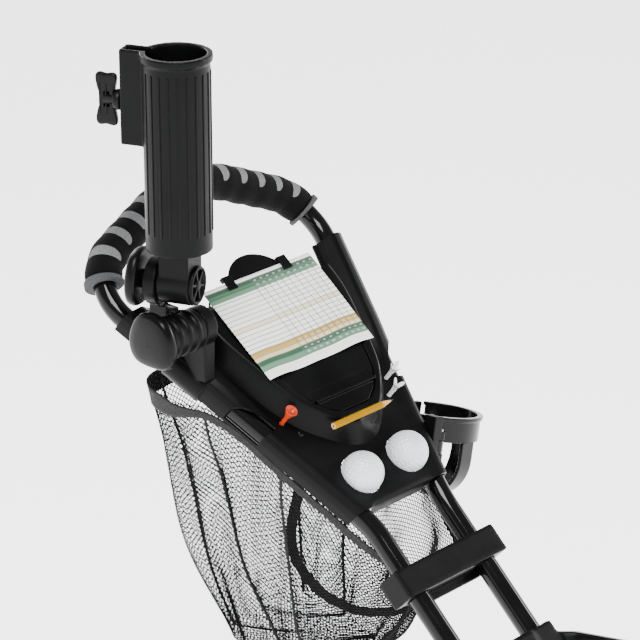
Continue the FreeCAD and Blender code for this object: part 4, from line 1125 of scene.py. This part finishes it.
def make_wing_screw(satin):
    """The socket's clamp screw: a stepped shank and a bow-tie blade with three finger grooves a side."""
    low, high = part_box("umbrella_wing_screw")
    side = Vector((math.cos(YAW), math.sin(YAW), 0))
    start = SOCKET_AXIS - FORWARD * (SCREW_REACH * MM)
    start.z = (low.z + high.z) / 2
    blade = start - FORWARD * (21 * MM)
    parts = [rounded_knob("wing_screw_body", blade - side * (4 * MM), side, BOW_TIE, 7, satin),
             lathe("screw_shank", SCREW_SHANK, start, -FORWARD, satin, 48)]
    for offset in (-6, 0.5, 7):
        for face in (-1, 1):
            spot = blade - FORWARD * (offset * MM) + side * (face * 3.7 * MM)
            parts.append(box_piece("blade_rib", spot, (1.4, 1.2, 30), (FORWARD, side, UP), satin, 0.3))
    finish_piece(join(parts), "wing_screw", "black_plastic", "umbrella_wing_screw")


def ring_ways(count, first_way, second_way, start=0):
    """Evenly spread directions round a circle."""
    angles = [2 * math.pi * number / count + start for number in range(count)]
    return [first_way * math.cos(angle) + second_way * math.sin(angle) for angle in angles]


def make_socket_ribs(plastic):
    """Shallow upright ribs round the socket, but for its clamp's side."""
    ribs = []
    for out in ring_ways(22, FORWARD, FORWARD.cross(UP)):
        if out.dot(FORWARD) < -0.8:
            continue
        middle = SOCKET_AXIS + out * (32.2 * MM) + UP * (134 * MM)
        ribs.append(box_piece("socket_ribs", middle, (1.2, 2.2, 158), (out, out.cross(UP), UP), plastic, 0.5))
    finish_piece(join(ribs), "umbrella_socket", "black_plastic")


CAP_DISC = [(0.1, 0.4), (15.5, 0.4), (15.7, 3.4), (16.8, 4.2), (18.4, 3.6), (19, 2.4), (19, 0), (0.1, 0)]
CAP_BOSS = [(5.2, 0.4), (5.2, 3.2), (4.4, 3.9), (0.1, 4.1)]


def make_spoked_cap(plastic):
    """The round cap in front of the tilt joint, with a rim, a boss and six spokes over a sunken face."""
    centre = TILT_JOINT + FORWARD * (39.8 * MM)
    parts = [lathe("joint_cap", CAP_DISC, centre, FORWARD, plastic),
             lathe("cap_boss", CAP_BOSS, centre, FORWARD, plastic, 40)]
    for out in ring_ways(6, FORWARD.cross(UP), UP, 0.3):
        middle = centre + out * (10.2 * MM) + FORWARD * (1.8 * MM)
        axes = (out, FORWARD.cross(out), FORWARD)
        parts.append(box_piece("cap_spoke", middle, (12, 2.4, 2.8), axes, plastic, 0.5))
    finish_piece(join(parts), "umbrella_socket", "black_plastic", "umbrella_cap")


# ---- wheels ----

SIDE_WALL = [  # from the bead to the tread: inward from the radius, and in from the side
    (25.6, 6.4), (21, 2.6), (15, 0.4), (11, 1), (6, 5), (3.2, 9), (2.2, 14)]
TREAD_BLOCKS = 44
ACROSS = Vector((1, 0, 0))


def make_tyre(name, label, body, rubber):
    """A foam tyre with shallow tread blocks in three staggered rows."""
    low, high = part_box(label)
    middle = (low + high) / 2
    radius = (high.z - low.z) / 2 / MM
    half = (high.x - low.x) / 2 / MM
    profile = [(radius - inward, share - half) for inward, share in SIDE_WALL]
    profile += [(radius - SIDE_WALL[-1][0], 0)] + [(reach, -place) for reach, place in reversed(profile)]
    parts = [lathe(name, profile, middle, ACROSS, rubber, 120)]
    block = (3.4, 2 * math.pi * radius / TREAD_BLOCKS * 0.62, half * 0.46)
    for row, place in enumerate((-half + 9.6, 0, half - 9.6)):
        start = math.pi * (row % 2) / TREAD_BLOCKS
        for out in ring_ways(TREAD_BLOCKS, Vector((0, 1, 0)), UP, start):
            spot = middle + out * ((radius - 2.1) * MM) + ACROSS * (place * MM)
            parts.append(box_piece("tread", spot, block, (out, ACROSS.cross(out), ACROSS), rubber, 0.6))
    finish_piece(join(parts), body, "tyre", label)


# ---- lower parts and straps ----

def make_strap(name, label, body, webbing):
    """A flat webbing strap hung in an arc across its cradle."""
    low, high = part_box(label)
    middle = (low + high) / 2
    half = (high.x - low.x) / 2 / MM
    up_way = Vector((0, *turned_up(1, 0, TUBE_ANGLE)))
    out_way = Vector((0, *turned_up(0, 1, TUBE_ANGLE)))
    sag = 22
    spots = []
    for number in range(61):
        side = (number / 60 * 2 - 1) * half
        drop = sag / 2 - sag * (1 - (side / half) ** 2)
        spots.append(middle + Vector((side, 0, 0)) * MM + out_way * (drop * MM))
    across = np.tile(np.array(up_way), (len(spots), 1))
    tape, long, _ = ribbon(name, np.array(spots), across, STRAP_WIDTH, 2, webbing)
    finish_piece(tape, body, "webbing", label)


def dress(label, material):
    """Gives a hard CAD part its material and soft edges."""
    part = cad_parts[label]
    part.data.materials.clear()
    part.data.materials.append(material)
    edges = part.modifiers.new("edges", "BEVEL")
    edges.width = 0.3 * MM
    edges.segments = 2
    edges.limit_method = "ANGLE"


def cad_mouldings(looks, table):
    """Makes rounded mouldings from rows of name, body, slot, look, CAD node, voxel and smoothing steps."""
    for name, body, slot, look, node, voxel, soften in table:
        moulded(name, body, slot, looks[look], node, voxel, soften)


CONSOLE_MOULDINGS = [
    ("console_mound", "upper_frame", "black_plastic", "plastic", "console_bin", 0.8, 12),
    ("bin_lid", "lid", "black_plastic", "plastic", "compartment_lid", 0.6, 5),
    ("card_holder_clip", "lid", "black_plastic", "satin", "card_clip", 0.4, 4)]
HOLDER_MOULDINGS = [
    ("tube_bracket", "upper_frame", "black_plastic", "plastic", "cross_bracket", 1.0, 44),
    ("cup_basket", "cup", "gloss_plastic", "gloss", "cup_holder", 0.55, 6),
    ("cup_arm_bracket", "upper_frame", "black_plastic", "plastic", "cup_bracket", 0.7, 6),
    ("umbrella_clamp_body", "upper_frame", "black_plastic", "plastic", "umbrella_clamp", 0.9, 5),
    ("swivel_arm", "umbrella_arm", "black_plastic", "plastic", "umbrella_arm", 0.8, 5),
    ("socket_tube", "umbrella_socket", "black_plastic", "plastic", "umbrella_socket", 1.1, 4)]
FRAME_MOULDINGS = [
    ("leg_saddles", "upper_frame", "black_plastic", "plastic", "console_saddles", 0.6, 5),
    ("upper_yoke", "upper_frame", "black_plastic", "plastic", "upper_cradle", 1.2, 36),
    ("lower_yoke", "frame", "black_plastic", "plastic", "lower_cradle", 1.2, 36),
    ("hinge_top_block", "upper_frame", "black_plastic", "plastic", "hinge_upper", 0.9, 8),
    ("hinge_bottom_block", "frame", "black_plastic", "plastic", "hinge_lower", 0.9, 8),
    ("fold_lever_handle", "fold_lever", "black_plastic", "satin", "hinge_lever", 0.6, 10),
    ("lower_frame_tubes", "frame", "black_tube", "paint", "lower_tubes", 1.1, 6),
    ("fork_tips", "frame", "black_plastic", "plastic", "fork_ends", 0.8, 10),
    ("rear_hub_block", "frame", "black_plastic", "plastic", "rear_hub", 0.9, 8),
    ("left_rear_arm", "left_arm", "black_tube", "paint", "rear_arm_left", 0.9, 6),
    ("right_rear_arm", "right_arm", "black_tube", "paint", "rear_arm_right", 0.9, 6),
    ("brake_foot_pedal", "pedal", "black_plastic", "plastic", "brake_pedal", 0.7, 10),
    ("rear_left_spoked_rim", "left_wheel", "rim", "rim", "rear_left_rim", 1.3, 5),
    ("rear_right_spoked_rim", "right_wheel", "rim", "rim", "rear_right_rim", 1.3, 5),
    ("front_spoked_rim", "front_wheel", "rim", "rim", "front_rim", 1.3, 5)]
STEEL_PARTS = (
    "lid_pin", "console_screws", "bracket_screws", "cup_pin", "umbrella_low_bolt", "umbrella_joint_bolt",
    "hinge_pin", "front_axle", "arm_pins", "rear_axle_left", "rear_axle_right", "front_bearings",
    "rear_left_bearings", "rear_right_bearings")


def make_looks():
    """The hard parts' materials, by name."""
    return {
        "paint": gloss_paint("black_tube_paint", (0.0018, 0.0018, 0.0020), 0.06),
        "plastic": moulded_plastic("black_moulding", (0.0014, 0.0015, 0.0016), 0.36),
        "satin": moulded_plastic("satin_moulding", (0.0018, 0.0019, 0.0020), 0.3, 1200, 0.00006, 0.12),
        "gloss": gloss_paint("gloss_moulding", (0.0020, 0.0020, 0.0022), 0.14),
        "rim": moulded_plastic("rim_moulding", (0.13, 0.135, 0.14), 0.36),
        "collar": foam_material("collar_grey", (0.045, 0.046, 0.048), (0.09, 0.091, 0.093), 900)}


def main():
    """Builds the studio and then the cart, from the handle down to the wheels."""
    add_camera()
    add_studio()
    looks = make_looks()
    plastic, satin = looks["plastic"], looks["satin"]

    foam = foam_material("grip_foam", (0.0012, 0.0012, 0.0013), (0.0030, 0.0030, 0.0032))
    grey = foam_material("grip_grey", (0.10, 0.102, 0.105), (0.21, 0.212, 0.215), 900)
    make_handle(looks["paint"], foam, grey)
    moulded("grip_collars", "upper_frame", "grip_grey", looks["collar"], "grip_end_rings", 0.5, 8)

    cad_mouldings(looks, CONSOLE_MOULDINGS)
    make_console(plastic)
    make_mound_skin(plastic)
    make_card(card_material())
    make_balls(ball_material())
    make_tees(moulded_plastic("white_tee_paint", (0.78, 0.78, 0.77), 0.3, 600, 0.00004, 0.4),
              moulded_plastic("orange_tee_paint", (0.42, 0.028, 0.003), 0.3, 600, 0.00004, 0.3))
    make_pencil(moulded_plastic("yellow_lacquer", (0.30, 0.150, 0.0001), 0.35, 600, 0.00003, 0.04),
                foam_material("pencil_wood", (0.62, 0.33, 0.12), (0.70, 0.42, 0.18), 400),
                metal_material("pencil_lead", (0.06, 0.06, 0.065), 0.4))
    make_net(moulded_plastic("net_yarn", (0.0022, 0.0022, 0.0024), 0.6, 700, 0.0001, 0.08),
             webbing_material("net_tape", (0.0030, 0.0030, 0.0033)))

    cad_mouldings(looks, HOLDER_MOULDINGS)
    make_thumb_knob("low", near(*PIVOT) + Vector((-24, 0, 0)) * MM, -ACROSS, satin)
    make_thumb_knob("high", TILT_JOINT - FORWARD * (7 * MM), -FORWARD, satin)
    make_wing_screw(satin)
    make_socket_ribs(plastic)
    make_spoked_cap(plastic)

    cad_mouldings(looks, FRAME_MOULDINGS)
    webbing = webbing_material("strap_webbing", (0.0080, 0.0080, 0.0085))
    make_strap("upper_webbing_strap", "upper_strap", "upper_frame", webbing)
    make_strap("lower_webbing_strap", "lower_strap", "frame", webbing)
    rubber = foam_material("tyre_foam", (0.022, 0.022, 0.022), (0.04, 0.04, 0.04), 500)
    for place, body in (("rear_left", "left_wheel"), ("rear_right", "right_wheel"), ("front", "front_wheel")):
        make_tyre(f"{place}_foam_tyre", f"{place}_tyre", body, rubber)
    steel = metal_material("bright_steel", (0.56, 0.57, 0.58), 0.28)
    for label in STEEL_PARTS:
        dress(label, steel)


main()
